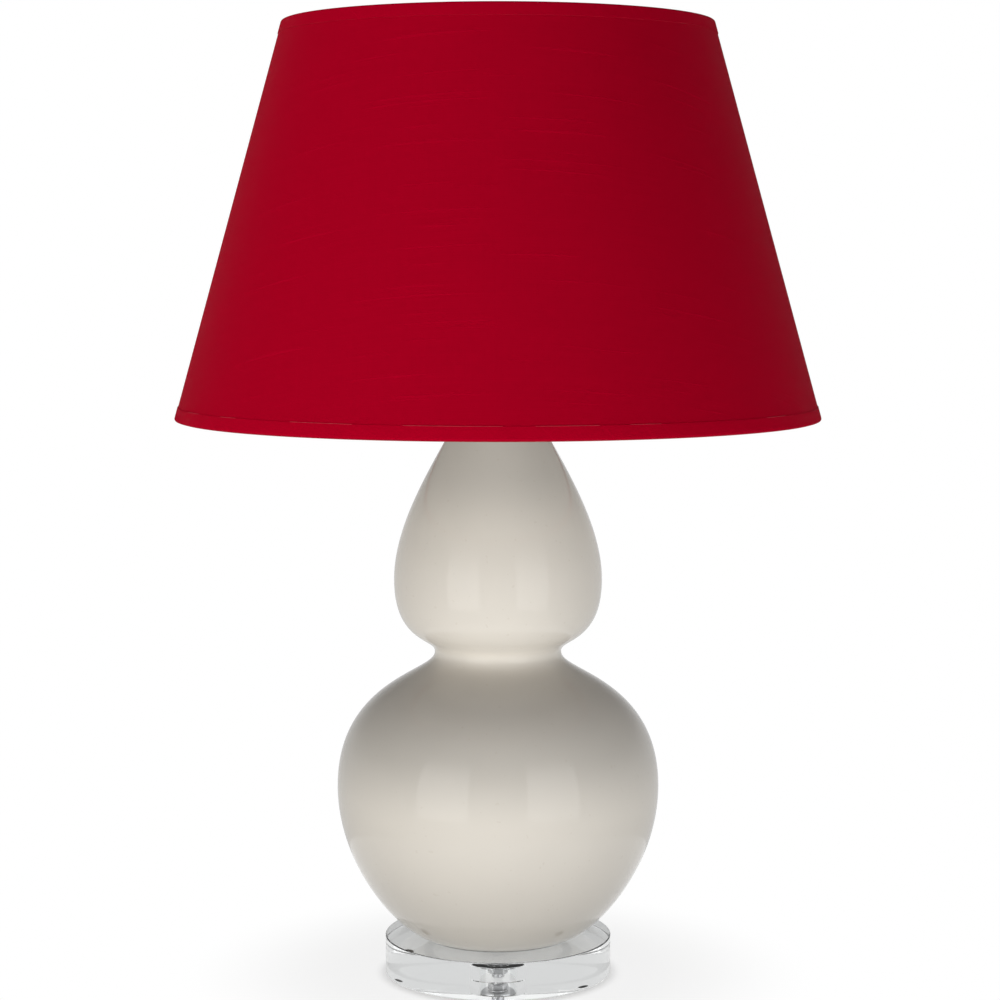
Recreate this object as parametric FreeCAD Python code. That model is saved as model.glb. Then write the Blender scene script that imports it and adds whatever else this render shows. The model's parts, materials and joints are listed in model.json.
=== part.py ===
"""Double gourd table lamp: a glazed ceramic double gourd on a clear disc, with an empire shade on a harp.

Millimetres, +Z up. The origin is on the tabletop, under the middle of the lamp. The harp lies in the XZ
plane, the switch points forwards along -Y, and the cord inlet and the shade's seam are at the back, along +Y.
Each section makes the pieces of one sub-assembly from the named sizes above it, and stacks on the one before.
"""
import FreeCAD, Part
import math
import os

V = FreeCAD.Vector
UP = V(0, 0, 1)
OUT = "parts"

# ---------------------------------------------------------------- general
GLUE_GAP = 0.05        # between glued, cemented or pressed pieces
SEAT_GAP = 0.1         # between a piece that lifts or turns and the seat that it rests on
SPARE = 1.0            # that a cut runs on past what it cuts
ROUND_HANDLE = 0.5523  # of the radius: handles this long make a cubic curve a quarter circle

# ---------------------------------------------------------------- clear base
PAD_HEIGHT = 1.5
PAD_RADIUS = 5.0
PAD_COUNT = 3
PAD_INSET = 7.5        # from a pad's edge to the rim of the disc
PAD_FIRST_ANGLE = 83.0
DISC_RADIUS = 90.6
DISC_THICKNESS = 30.0
DISC_BEVEL = 0.8
COUNTERBORE_RADIUS = 15.0
COUNTERBORE_DEPTH = 11.5
GASKET_THICKNESS = 0.8
GASKET_WIDTH = 7.0
GASKET_SETBACK = 1.0   # of the gasket's edge inside the gourd's foot

# ---------------------------------------------------------------- threaded pipe and its nuts
PIPE_RADIUS = 5.15
PIPE_BORE = 3.2
PIPE_CLEARANCE = 0.25  # round the pipe in what it passes through
PIPE_TAIL = 3.0        # of pipe below the bottom nut
CORD_SLOT_LENGTH = 16.0
CORD_SLOT_WIDTH = 5.5
NUT_ACROSS_FLATS = 14.3
NUT_THICKNESS = 4.6
NUT_CHAMFER = 0.7
WASHER_THICKNESS = 1.5
WASHER_PLAY = 1.0      # from the flat washer's edge to the counterbore's wall
LOCK_WASHER_WIDTH = 2.8
LOCK_WASHER_THICKNESS = 1.1
LOCK_WASHER_SLIT = 1.2
LOCK_WASHER_TURN = 30.0

# ---------------------------------------------------------------- ceramic gourd: heights are above its foot
FOOT_RADIUS = 60.6
FOOT_RISE = 4.4        # how far the wall climbs over the first FOOT_RUN of its spread
FOOT_RUN = 19.5
FOOT_RECESS = 3.0
FLOOR_THICKNESS = 7.0
BELLY_RADIUS = 128.4
BELLY_HEIGHT = 120.5
BELLY_FULL_BELOW = 65.0
BELLY_FULL_ABOVE = 84.8
WAIST_RADIUS = 50.4
WAIST_HEIGHT = 228.5
WAIST_FULL_BELOW = 19.3
WAIST_FULL_ABOVE = 12.6
CROWN_RADIUS = 82.7
CROWN_HEIGHT = 286.4
CROWN_FULL_BELOW = 50.8
CROWN_FULL_ABOVE = 62.5
NECK_RADIUS = 20.9
NECK_HEIGHT = 445.7
NECK_FULL = 28.1
WALL = 6.5
HOLLOW_FULLNESS = 0.6  # of the wall, by which the hollow's bulges are flatter than the glaze's
FOOT_RING_WIDTH = 10.0
FLOOR_HOLE_PLAY = 2.5  # round the pipe in the gourd's floor

# ---------------------------------------------------------------- cord inlet in the back of the gourd
INLET_HEIGHT = 30.0    # above the gourd's foot, where the bush's axis meets the glaze
INLET_BORE = 3.6
BUSH_RADIUS = 5.8
BUSH_FLANGE_RADIUS = 8.0
BUSH_FLANGE_THICKNESS = 1.8
BUSH_ROUND = 1.1       # of the flange's outer edge
BUSH_TAIL = 1.5        # of bush past the inside of the wall

# ---------------------------------------------------------------- metal parts over the neck
CAP_SKIRT = 4.0
CAP_METAL = 1.1
CAP_PLAY = 0.3         # round the neck
CAP_RISE = 7.0
CAP_SHOULDER = 2.0     # radius of the edge above the skirt
CAP_SEAT = 2.0         # width of the cap's seat on the rim of the neck
CAP_SWEEP = 6.0        # handles of the hollow curve from the shoulder up to the hub
CAP_SWEEP_RISE = 2.5
CAP_HUB_RADIUS = 9.5
SPACER_RADIUS = 7.6
SPACER_HEIGHT = 9.0
SPACER_BEAD = 1.5
SPACER_EDGE = 0.4
CHECK_RING_RADIUS = 12.5
CHECK_RING_THICKNESS = 3.0
CHECK_RING_ROUND = 1.2

# ---------------------------------------------------------------- harp saddle
SADDLE_METAL = 1.5
SADDLE_WIDTH = 11.0
SADDLE_FLAT = 13.0     # half length of the flat middle
SADDLE_RISE = 8.0      # from the middle to the ears
TAB_HEIGHT = 10.0
TAB_WIDTH = 4.0

# ---------------------------------------------------------------- harp
HARP_WIRE = 2.1
HARP_FOOT = 31.3       # half the distance between the feet of the harp
HARP_HALF_WIDTH = 58.0
HARP_HEIGHT = 230.7    # from the ears of the saddle to the middle of the wire at the top
HARP_LEG = 53.5        # of straight leg up to the corner where the harp spreads
HARP_SPREAD = 52.0     # rise over which it spreads
HARP_SIDE = 56.0       # height of its straight side
HARP_TOP_HALF = 42.0   # half width at the top corners
HARP_BEND = 60.0
HARP_SHOULDER_BEND = 140.0
HARP_TOP_BEND = 33.0
HARP_FLAT_LENGTH = 17.0
HARP_FLAT_WIDTH = 9.0
HARP_FLAT_THICKNESS = 2.6
FERRULE_WALL = 1.0
FERRULE_HEIGHT = 15.0
FERRULE_BAND = 2.6     # height of the thicker band at its foot
FERRULE_STEP = 0.4
FERRULE_TAPER = 1.2    # height of the tapered lip
FERRULE_PLAY = 0.3
TAB_PLAY = 0.3         # from the saddle's tabs to the feet of the harp

# ---------------------------------------------------------------- swivel stud on the harp
SHANK_RADIUS = 2.0
SHANK_PLAY = 0.08
RIVET_RADIUS = 3.5
RIVET_THICKNESS = 1.1
COLLAR_RADIUS = 4.6
COLLAR_HEIGHT = 1.6
SAUCER_RADIUS = 11.0
SAUCER_THICKNESS = 1.2
SAUCER_ROUND = 0.5
STUD_RADIUS = 3.1
STUD_LENGTH = 13.5
STUD_EDGE = 0.6

# ---------------------------------------------------------------- socket
HUB_RADIUS = 8.2
HUB_HEIGHT = 9.0
SOCKET_CAP_METAL = 0.8
SOCKET_CAP_DOME = 6.0
SOCKET_CAP_SKIRT = 4.5
SOCKET_CAP_BEVEL = 0.6
SHELL_METAL = 0.6
SHELL_BEAD = 1.0
SHELL_LIP = 3.1        # of the shell's mouth above the screw shell
LINER_THICKNESS = 0.7
LINER_SETBACK = 1.5    # of the paper liner below the shell's mouth
LINER_FOOT_GAP = 0.5
LINER_PLAY = 0.5       # from the screw shell's rings out to the liner
BLOCK_PLAY = 0.2       # from the block out to the liner
BLOCK_HEIGHT = 20.0
BLOCK_SHOULDER = 4.0   # bevel round the foot of the block
BLOCK_EDGE = 1.0
BLOCK_FLAT_DEPTH = 3.2
BLOCK_FLAT_SETBACK = 5.0
TERMINAL_RADIUS = 3.2
TERMINAL_HEAD = 1.8
TERMINAL_RISE = 8.5    # of the screws' axis above the foot of the block
TERMINAL_SHANK = 1.5
TERMINAL_SHANK_LENGTH = 4.0
TERMINAL_SLOT_WIDTH = 0.8
TERMINAL_SLOT_DEPTH = 0.7
SCREW_SHELL_WALL = 0.5
SCREW_SHELL_RING = 0.35
SCREW_SHELL_HEIGHT = 24.0
SCREW_SHELL_FLANGE = 3.6
THREAD_PLAY = 0.3      # between the bulb's thread and the screw shell, so that the bulb draws straight out
CONTACT_METAL = 0.5
CONTACT_WIDTH = 5.0
CONTACT_HALF_LENGTH = 7.0
CONTACT_RISE = 3.0
CONTACT_PAD = 3.5      # half length of the raised pad under the bulb
SET_SCREW_RADIUS = 1.6
SET_SCREW_LENGTH = 4.4
SET_SCREW_SLOT = 0.6
SET_SCREW_SLOT_DEPTH = 0.9

# ---------------------------------------------------------------- switch
SHAFT_RADIUS = 2.0
SHAFT_RISE = 4.4       # of its axis above the rim of the socket's cap
SHAFT_WINDOW = 1.5     # round the shaft in the shell and its liner
SHAFT_DEPTH = 7.0      # of shaft inside the block
SHAFT_REACH = 36.0     # from the lamp's axis to the knob's outer face
SHAFT_PLAY = 0.3
KNOB_RADIUS = 7.0
KNOB_LENGTH = 10.0
KNOB_CAP = 2.0         # of knob beyond the end of the shaft
KNOB_NECK_RADIUS = 4.2
KNOB_FLARE = 2.0       # height over which it widens from its neck
KNOB_ROUND = 1.3
KNOB_FLUTES = 12
KNOB_FLUTE_RADIUS = 1.0
KNOB_FLUTE_OUTSIDE = 0.35   # from the knob's side out to a flute's axis

# ---------------------------------------------------------------- bulb: pear shaped, with a medium screw cap
THREAD_RADIUS = 13.05
THREAD_DEPTH = 0.85
THREAD_PITCH = 3.63
THREAD_TURNS = 5
BULB_CAP_METAL = 0.4
BULB_COLLAR = 4.5
BULB_COLLAR_BAND = 2.0
BULB_CAP_EDGE = 0.8
BULB_CAP_LIP = 1.6     # how far the cap turns in over the insulator
TIP_RADIUS = 4.6
TIP_HEIGHT = 1.8
INSULATOR_HEIGHT = 3.6
INSULATOR_INSET = 1.0  # from the root of the thread
BULB_RADIUS = 30.15
BULB_LENGTH = 84.0     # of glass
BULB_NECK_RADIUS = 13.2
BULB_NECK_FULL = 20.0  # height of the neck's handle, and below it of the ball's
BULB_BALL_FULL = 24.0
BULB_GLASS = 0.8
STEM_HEIGHT = 34.0
STEM_RADIUS = 3.0
STEM_PLAY = 0.3
STEM_FOOT = 1.2
STEM_FLARE = 8.0
FILAMENT_WIRE = 0.35
FILAMENT_LEG = 2.0
FILAMENT_BEND = 1.2
FILAMENT_HALF_WIDTH = 11.0
FILAMENT_RISE = 16.0

# ---------------------------------------------------------------- shade
SHADE_BOTTOM_RADIUS = 253.5
SHADE_TOP_RADIUS = 168.2
SHADE_HEIGHT = 306.5
FABRIC = 0.5
STYRENE = 0.8
TRIM_HEIGHT = 9.5
TRIM_FABRIC = 0.45
RING_WIRE = 1.6
SEAM_WIDTH = 12.0
SPIDER_HUB_RADIUS = 12.0
SPIDER_HUB_BORE = 3.9
SPIDER_HUB_THICKNESS = 1.5
SPIDER_DROP = 11.7     # from the shade's top edge down to the top of the hub
SPIDER_ARMS = 3
SPIDER_FIRST_ANGLE = 90.0
SPIDER_BEND_INSET = 26.0
SPIDER_BEND = 14.0
ARM_NOTCH = 0.4        # round each arm in the top trim
TRIM_PLAY = 0.4        # between a trim's fold and the wire ring inside it
FOLD_CREASES = 4       # in each quarter turn of a trim
RING_PLAY = 0.2        # from the liner to the wire rings

# ---------------------------------------------------------------- finial
FINIAL_FOOT_RADIUS = 7.2
FINIAL_FOOT_THICKNESS = 1.6
FINIAL_EDGE = 0.4
FINIAL_COVE = 1.6      # handles of the hollow curve between foot and neck
FINIAL_NECK_RADIUS = 4.9
FINIAL_NECK_HEIGHT = 3.4
FINIAL_BALL_RADIUS = 8.2
FINIAL_TIP_RADIUS = 2.6
FINIAL_TIP_HEIGHT = 2.2
FINIAL_PLAY = 0.3      # round the stud
FINIAL_BORE_SPARE = 0.6

# ================================================================ places that follow from the sizes
DISC_BOTTOM = PAD_HEIGHT
DISC_TOP = DISC_BOTTOM + DISC_THICKNESS
COUNTERBORE_TOP = DISC_BOTTOM + COUNTERBORE_DEPTH
GOURD_FOOT = DISC_TOP + GASKET_THICKNESS
GOURD_TOP = GOURD_FOOT + NECK_HEIGHT
CAP_TOP = GOURD_TOP + CAP_RISE
SPACER_TOP = CAP_TOP + SPACER_HEIGHT
SADDLE_BOTTOM = SPACER_TOP + CHECK_RING_THICKNESS
SADDLE_TOP = SADDLE_BOTTOM + SADDLE_METAL
EAR_TOP = SADDLE_TOP + SADDLE_RISE
TOP_NUT_TOP = SADDLE_TOP + LOCK_WASHER_THICKNESS + NUT_THICKNESS
SOCKET_BOTTOM = TOP_NUT_TOP + GLUE_GAP
PIPE_TOP = SOCKET_BOTTOM + HUB_HEIGHT
PIPE_BOTTOM = COUNTERBORE_TOP - WASHER_THICKNESS - LOCK_WASHER_THICKNESS - NUT_THICKNESS - PIPE_TAIL
PIPE_HOLE = PIPE_RADIUS + PIPE_CLEARANCE
CAP_FLOOR = SOCKET_BOTTOM + HUB_HEIGHT + SOCKET_CAP_METAL
BLOCK_BOTTOM = CAP_FLOOR + GLUE_GAP
BLOCK_TOP = BLOCK_BOTTOM + BLOCK_HEIGHT
SHELL_BOTTOM = SOCKET_BOTTOM + HUB_HEIGHT + SOCKET_CAP_DOME
SHELL_TOP = BLOCK_TOP + SCREW_SHELL_HEIGHT + SHELL_LIP
SOCKET_CAP_RIM = SHELL_BOTTOM + SOCKET_CAP_SKIRT
SHAFT_AXIS = SOCKET_CAP_RIM + SHAFT_RISE
SCREW_SHELL_INSIDE = THREAD_RADIUS + THREAD_PLAY
SCREW_SHELL_OUTSIDE = SCREW_SHELL_INSIDE + SCREW_SHELL_WALL
LINER_INSIDE = SCREW_SHELL_OUTSIDE + SCREW_SHELL_RING + LINER_PLAY
LINER_OUTSIDE = LINER_INSIDE + LINER_THICKNESS
SHELL_INSIDE = LINER_OUTSIDE + GLUE_GAP
SHELL_RADIUS = SHELL_INSIDE + SHELL_METAL
SOCKET_CAP_INSIDE = SHELL_RADIUS + GLUE_GAP
SOCKET_CAP_RADIUS = SOCKET_CAP_INSIDE + SOCKET_CAP_METAL
BLOCK_RADIUS = LINER_INSIDE - BLOCK_PLAY
BLOCK_FLAT = BLOCK_RADIUS - BLOCK_FLAT_DEPTH
BULB_BOTTOM = BLOCK_TOP + CONTACT_METAL + CONTACT_RISE + SEAT_GAP
BULB_SCREW_BOTTOM = BULB_BOTTOM + TIP_HEIGHT + INSULATOR_HEIGHT
BULB_CAP_TOP = BULB_SCREW_BOTTOM + THREAD_TURNS * THREAD_PITCH + BULB_COLLAR
GLASS_BOTTOM = BULB_CAP_TOP + GLUE_GAP
HARP_BOTTOM = EAR_TOP + SEAT_GAP
HARP_TOP = EAR_TOP + HARP_HEIGHT
FLAT_TOP = HARP_TOP + HARP_FLAT_THICKNESS / 2
FLAT_BOTTOM = HARP_TOP - HARP_FLAT_THICKNESS / 2
COLLAR_BOTTOM = FLAT_TOP + SEAT_GAP
SAUCER_BOTTOM = COLLAR_BOTTOM + COLLAR_HEIGHT
SAUCER_TOP = SAUCER_BOTTOM + SAUCER_THICKNESS
HUB_BOTTOM = SAUCER_TOP + SEAT_GAP
HUB_TOP = HUB_BOTTOM + SPIDER_HUB_THICKNESS
SHADE_TOP = HUB_TOP + SPIDER_DROP
SHADE_BOTTOM = SHADE_TOP - SHADE_HEIGHT
FINIAL_BOTTOM = HUB_TOP + SEAT_GAP
TAB_INSIDE = HARP_FOOT - HARP_WIRE - TAB_PLAY - SADDLE_METAL


# ================================================================ helpers
class Outline:
    """A closed outline in (radius, height), drawn piece by piece and then turned round the lamp's axis."""

    def __init__(self, r, z):
        self.first = self.last = (r, z)
        self.edges = []

    def to(self, *points):
        """Straight lines through (radius, height) points."""
        for point in points:
            self.edges.append(Part.LineSegment(flat(*self.last), flat(*point)).toShape())
            self.last = point
        return self

    def arc(self, through, end):
        self.edges.append(Part.Arc(flat(*self.last), flat(*through), flat(*end)).toShape())
        self.last = end
        return self

    def curve(self, leave, arrive, end):
        """A cubic curve: leave and arrive are the steps (in radius, in height) of its two handles."""
        poles = [flat(*self.last), flat(self.last[0] + leave[0], self.last[1] + leave[1]),
                 flat(end[0] - arrive[0], end[1] - arrive[1]), flat(*end)]
        bezier = Part.BezierCurve()
        bezier.setPoles(poles)
        self.edges.append(bezier.toShape())
        self.last = end
        return self

    def quarter(self, r, z, upright=True):
        """A rounded quarter turn to (r, z) that sets off upright, or else level."""
        across, along = (r - self.last[0]) * ROUND_HANDLE, (z - self.last[1]) * ROUND_HANDLE
        if upright:
            return self.curve((0, along), (across, 0), (r, z))
        return self.curve((across, 0), (0, along), (r, z))

    def face(self):
        if self.last != self.first:
            self.to(self.first)
        return Part.Face(Part.Wire(self.edges))

    def turned(self, degrees=360.0):
        return self.face().revolve(V(0, 0, 0), UP, degrees)


def flat(r, z):
    """The point at radius r and height z in the drawing plane."""
    return V(r, 0, z)


def tube(inside, outside, bottom, top):
    """A plain ring about the lamp's axis."""
    return Outline(inside, bottom).to((outside, bottom), (outside, top), (inside, top)).turned()


def rod(radius, start, end):
    """A round rod between two points."""
    along = end - start
    return Part.makeCylinder(radius, along.Length, start, along)


def block(low, high):
    """A box between its lowest and highest corners."""
    size = [b - a for a, b in zip(low, high)]
    return Part.makeBox(*size, V(*low))


def turned_about_z(shape, degrees):
    copy = shape.copy()
    copy.rotate(V(0, 0, 0), UP, degrees)
    return copy


def rounded_path(corners, bends):
    """A wire through the corners, each inner corner rounded by an arc of its own bend radius."""
    edges, start = [], corners[0]
    for before, corner, after, bend in zip(corners, corners[1:], corners[2:], bends):
        back, ahead = (before - corner).normalize(), (after - corner).normalize()
        half = back.getAngle(ahead) / 2
        reach = bend / math.tan(half)
        enter, leave = corner + back * reach, corner + ahead * reach
        middle = (back + ahead).normalize()
        crown = corner + middle * (bend / math.sin(half) - bend)
        edges += [Part.LineSegment(start, enter).toShape(), Part.Arc(enter, crown, leave).toShape()]
        start = leave
    edges.append(Part.LineSegment(start, corners[-1]).toShape())
    return Part.Wire(edges)


def wire_along(path, radius):
    """Round wire along a path."""
    first = path.OrderedEdges[0]
    start = first.valueAt(first.FirstParameter)
    ahead = first.tangentAt(first.FirstParameter)
    ring = Part.Wire(Part.makeCircle(radius, start, ahead))
    return path.makePipeShell([ring], True, False)


def hex_nut(bottom, bore):
    """A hexagon nut about the lamp's axis, with its corners chamfered at both faces."""
    corner = NUT_ACROSS_FLATS / 2 / math.cos(math.pi / 6)
    top = bottom + NUT_THICKNESS
    corners = [V(corner * math.cos(math.radians(a)), corner * math.sin(math.radians(a)), bottom)
               for a in range(0, 361, 60)]
    prism = Part.Face(Part.makePolygon(corners)).extrude(UP * NUT_THICKNESS)
    face = NUT_ACROSS_FLATS / 2
    round_off = (Outline(bore, bottom)
                 .to((face, bottom), (corner, bottom + NUT_CHAMFER), (corner, top - NUT_CHAMFER), (face, top),
                     (bore, top))
                 .turned())
    return prism.common(round_off)


def lock_washer(bottom):
    """A split spring washer about the pipe."""
    outside, top, slit = PIPE_HOLE + LOCK_WASHER_WIDTH, bottom + LOCK_WASHER_THICKNESS, LOCK_WASHER_SLIT
    gap = block((0, -slit / 2, bottom - SPARE), (outside + SPARE, slit / 2, top + SPARE))
    return tube(PIPE_HOLE, outside, bottom, top).cut(turned_about_z(gap, LOCK_WASHER_TURN))


def save(name, *solids):
    """Writes one node, and checks that each of its solids is whole."""
    for solid in solids:
        assert solid.isValid() and solid.Volume > 0, name
    shape = solids[0] if len(solids) == 1 else Part.makeCompound(list(solids))
    shape.exportStep(os.path.join(OUT, name + ".step"))
    print(f"{name}: {sum(s.Volume for s in solids) / 1000:.2f} cm3, {len(shape.Solids)} solid(s)")


# ================================================================ clear base
def foot_pads():
    reach = DISC_RADIUS - PAD_INSET - PAD_RADIUS
    pads = []
    for n in range(PAD_COUNT):
        angle = math.radians(PAD_FIRST_ANGLE + 360.0 * n / PAD_COUNT)
        centre = V(reach * math.cos(angle), reach * math.sin(angle), 0)
        pads.append(Part.makeCylinder(PAD_RADIUS, PAD_HEIGHT, centre))
    return pads


def base_disc():
    rim, low, high, edge = DISC_RADIUS, DISC_BOTTOM, DISC_TOP, DISC_BEVEL
    return (Outline(COUNTERBORE_RADIUS, low)
            .to((rim - edge, low), (rim, low + edge), (rim, high - edge), (rim - edge, high))
            .to((PIPE_HOLE, high), (PIPE_HOLE, COUNTERBORE_TOP), (COUNTERBORE_RADIUS, COUNTERBORE_TOP))
            .turned())


def foot_gasket():
    outside = FOOT_RADIUS - GASKET_SETBACK
    return tube(outside - GASKET_WIDTH, outside, DISC_TOP, GOURD_FOOT)


def threaded_pipe():
    pipe = tube(PIPE_BORE, PIPE_RADIUS, PIPE_BOTTOM, PIPE_TOP)
    slot_middle = GOURD_FOOT + INLET_HEIGHT
    slot = block((-CORD_SLOT_WIDTH / 2, 0, slot_middle - CORD_SLOT_LENGTH / 2),
                 (CORD_SLOT_WIDTH / 2, PIPE_RADIUS + SPARE, slot_middle + CORD_SLOT_LENGTH / 2))
    return pipe.cut(slot)


def make_clear_base():
    save("foot_pads", *foot_pads())
    save("base_disc", base_disc())
    save("foot_gasket", foot_gasket())
    save("threaded_pipe", threaded_pipe())
    washer_bottom = COUNTERBORE_TOP - WASHER_THICKNESS
    lock_bottom = washer_bottom - LOCK_WASHER_THICKNESS
    save("base_washer", tube(PIPE_HOLE, COUNTERBORE_RADIUS - WASHER_PLAY, washer_bottom, COUNTERBORE_TOP))
    save("base_lock_washer", lock_washer(lock_bottom))
    save("base_nut", hex_nut(lock_bottom - NUT_THICKNESS, PIPE_RADIUS + SEAT_GAP))


# ================================================================ ceramic gourd
def gourd_curves(outline, wall, leave, arrive):
    """Draws the gourd's side up from the outline's last point, leaving it by one handle and coming up to the
    belly by another; wall is how far inside the glaze it runs."""
    fuller = wall * HOLLOW_FULLNESS

    def at(radius, height):
        return radius - wall, GOURD_FOOT + height

    waist, crown = at(WAIST_RADIUS, WAIST_HEIGHT), at(CROWN_RADIUS, CROWN_HEIGHT)
    outline.curve(leave, (0, arrive - fuller), at(BELLY_RADIUS, BELLY_HEIGHT))
    outline.curve((0, BELLY_FULL_ABOVE - fuller), (0, WAIST_FULL_BELOW + fuller), waist)
    outline.curve((0, WAIST_FULL_ABOVE + fuller), (0, CROWN_FULL_BELOW - fuller), crown)
    outline.curve((0, CROWN_FULL_ABOVE - fuller), (0, NECK_FULL), at(NECK_RADIUS, NECK_HEIGHT))
    return outline


def lower_side(t):
    """The glaze from the foot to the belly: the point and the slope at a fraction of the way up its curve."""
    u = 1 - t
    poles = [(FOOT_RADIUS, 0), (FOOT_RADIUS + FOOT_RUN, FOOT_RISE),
             (BELLY_RADIUS, BELLY_HEIGHT - BELLY_FULL_BELOW), (BELLY_RADIUS, BELLY_HEIGHT)]
    a, b, c, d = [V(0, r, GOURD_FOOT + z) for r, z in poles]
    point = a * u**3 + b * (3 * u * u * t) + c * (3 * u * t * t) + d * t**3
    slope = (b - a) * (3 * u * u) + (c - b) * (6 * u * t) + (d - c) * (3 * t * t)
    return point, slope


def inside_side(t, depth):
    """The point that far behind the glaze, square to it."""
    point, slope = lower_side(t)
    return point - V(0, slope.z, -slope.y).normalize() * depth


def fraction_at(height, depth):
    """How far up the lower curve the skin that deep behind the glaze reaches that height, by halving."""
    low, high, halvings = 0.0, 1.0, 40
    for _ in range(halvings):
        middle = (low + high) / 2
        low, high = (middle, high) if inside_side(middle, depth).z < height else (low, middle)
    return low


def inlet_seat():
    """The point where the inlet's axis meets the glaze, and the outward normal there."""
    point, slope = lower_side(fraction_at(GOURD_FOOT + INLET_HEIGHT, 0))
    return point, V(0, slope.z, -slope.y).normalize()


def whole_gourd():
    floor = GOURD_FOOT + FOOT_RECESS + FLOOR_THICKNESS
    foot_inside = FOOT_RADIUS - FOOT_RING_WIDTH
    outside = Outline(foot_inside, GOURD_FOOT).to((FOOT_RADIUS, GOURD_FOOT))
    gourd_curves(outside, 0, (FOOT_RUN, FOOT_RISE), BELLY_FULL_BELOW)
    outside.to((0, GOURD_TOP), (0, GOURD_FOOT + FOOT_RECESS), (foot_inside, GOURD_FOOT + FOOT_RECESS))

    start = fraction_at(floor, WALL)
    rest = 1 - start
    corner, slope = inside_side(start, WALL), lower_side(start)[1] * (rest / 3)
    hollow = Outline(0, floor).to((corner.y, floor))
    gourd_curves(hollow, WALL, (slope.y, slope.z), BELLY_FULL_BELOW * rest)
    hollow.to((NECK_RADIUS - WALL, GOURD_TOP + SPARE), (0, GOURD_TOP + SPARE))

    seat, outward = inlet_seat()
    inlet = rod(BUSH_RADIUS + GLUE_GAP, seat - outward * (WALL * 3), seat + outward * WALL)
    pipe_hole = rod(PIPE_RADIUS + FLOOR_HOLE_PLAY, V(0, 0, GOURD_FOOT), V(0, 0, floor + SPARE))
    return outside.turned().cut(hollow.turned()).cut(pipe_hole).cut(inlet)


def gourd_bulbs():
    """The lower and the upper bulb, made apart and luted together round the waist."""
    gourd, waist, reach = whole_gourd(), GOURD_FOOT + WAIST_HEIGHT, BELLY_RADIUS + SPARE
    above = block((-reach, -reach, waist), (reach, reach, GOURD_TOP + SPARE))
    below = block((-reach, -reach, GOURD_FOOT - SPARE), (reach, reach, waist + GLUE_GAP))
    return gourd.cut(above), gourd.cut(below)


def cord_bush():
    """A flanged plastic bush, drawn about the lamp's axis and then set along the inlet."""
    length, rim, thick = WALL + BUSH_TAIL, BUSH_FLANGE_RADIUS, BUSH_FLANGE_THICKNESS
    shape = (Outline(INLET_BORE, -length)
             .to((BUSH_RADIUS, -length), (BUSH_RADIUS, GLUE_GAP), (rim, GLUE_GAP), (rim, thick - BUSH_ROUND))
             .quarter(rim - BUSH_ROUND, thick)
             .to((INLET_BORE, thick))
             .turned())
    seat, outward = inlet_seat()
    shape.Placement = FreeCAD.Placement(seat, FreeCAD.Rotation(UP, outward))
    return shape


def make_gourd():
    lower, upper = gourd_bulbs()
    save("gourd_lower_bulb", lower)
    save("gourd_upper_bulb", upper)
    save("cord_bush", cord_bush())


# ================================================================ metal parts over the neck
def neck_at(depth):
    """The gourd's radius a little way below the top of its neck."""
    u = depth / (3 * NECK_FULL)
    return NECK_RADIUS + 3 * u * u * (CROWN_RADIUS - NECK_RADIUS)


def vase_cap():
    """A spun cap over the rim of the neck: a skirt, a round shoulder and a hollow sweep up to its hub."""
    inside = neck_at(CAP_SKIRT) + CAP_PLAY
    outside, low, high, hub = inside + CAP_METAL, GOURD_TOP, CAP_TOP, CAP_HUB_RADIUS
    shoulder = outside - CAP_SHOULDER, low + CAP_METAL + CAP_SHOULDER
    return (Outline(inside, low - CAP_SKIRT)
            .to((outside, low - CAP_SKIRT), (outside, low + CAP_METAL))
            .quarter(*shoulder)
            .curve((-CAP_SWEEP, 0), (0, CAP_SWEEP_RISE), (hub, high))
            .to((PIPE_HOLE, high), (PIPE_HOLE, high - CAP_METAL), (hub - CAP_METAL, high - CAP_METAL),
                (NECK_RADIUS - CAP_SEAT, low), (inside, low))
            .turned())


def neck_spacer():
    """A waisted spacer with a rolled bead at each end."""
    low, high, edge = CAP_TOP, SPACER_TOP, SPACER_RADIUS - SPACER_EDGE
    return (Outline(PIPE_HOLE, low)
            .to((edge, low))
            .arc((SPACER_RADIUS, low + SPACER_BEAD / 2), (edge, low + SPACER_BEAD))
            .arc((SPACER_RADIUS - SPACER_BEAD, (low + high) / 2), (edge, high - SPACER_BEAD))
            .arc((SPACER_RADIUS, high - SPACER_BEAD / 2), (edge, high))
            .to((PIPE_HOLE, high))
            .turned())


def check_ring():
    low, high, rim = SPACER_TOP, SADDLE_BOTTOM, CHECK_RING_RADIUS
    return (Outline(PIPE_HOLE, low)
            .to((rim - CHECK_RING_ROUND, low))
            .arc((rim, (low + high) / 2), (rim - CHECK_RING_ROUND, high))
            .to((PIPE_HOLE, high))
            .turned())


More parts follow.
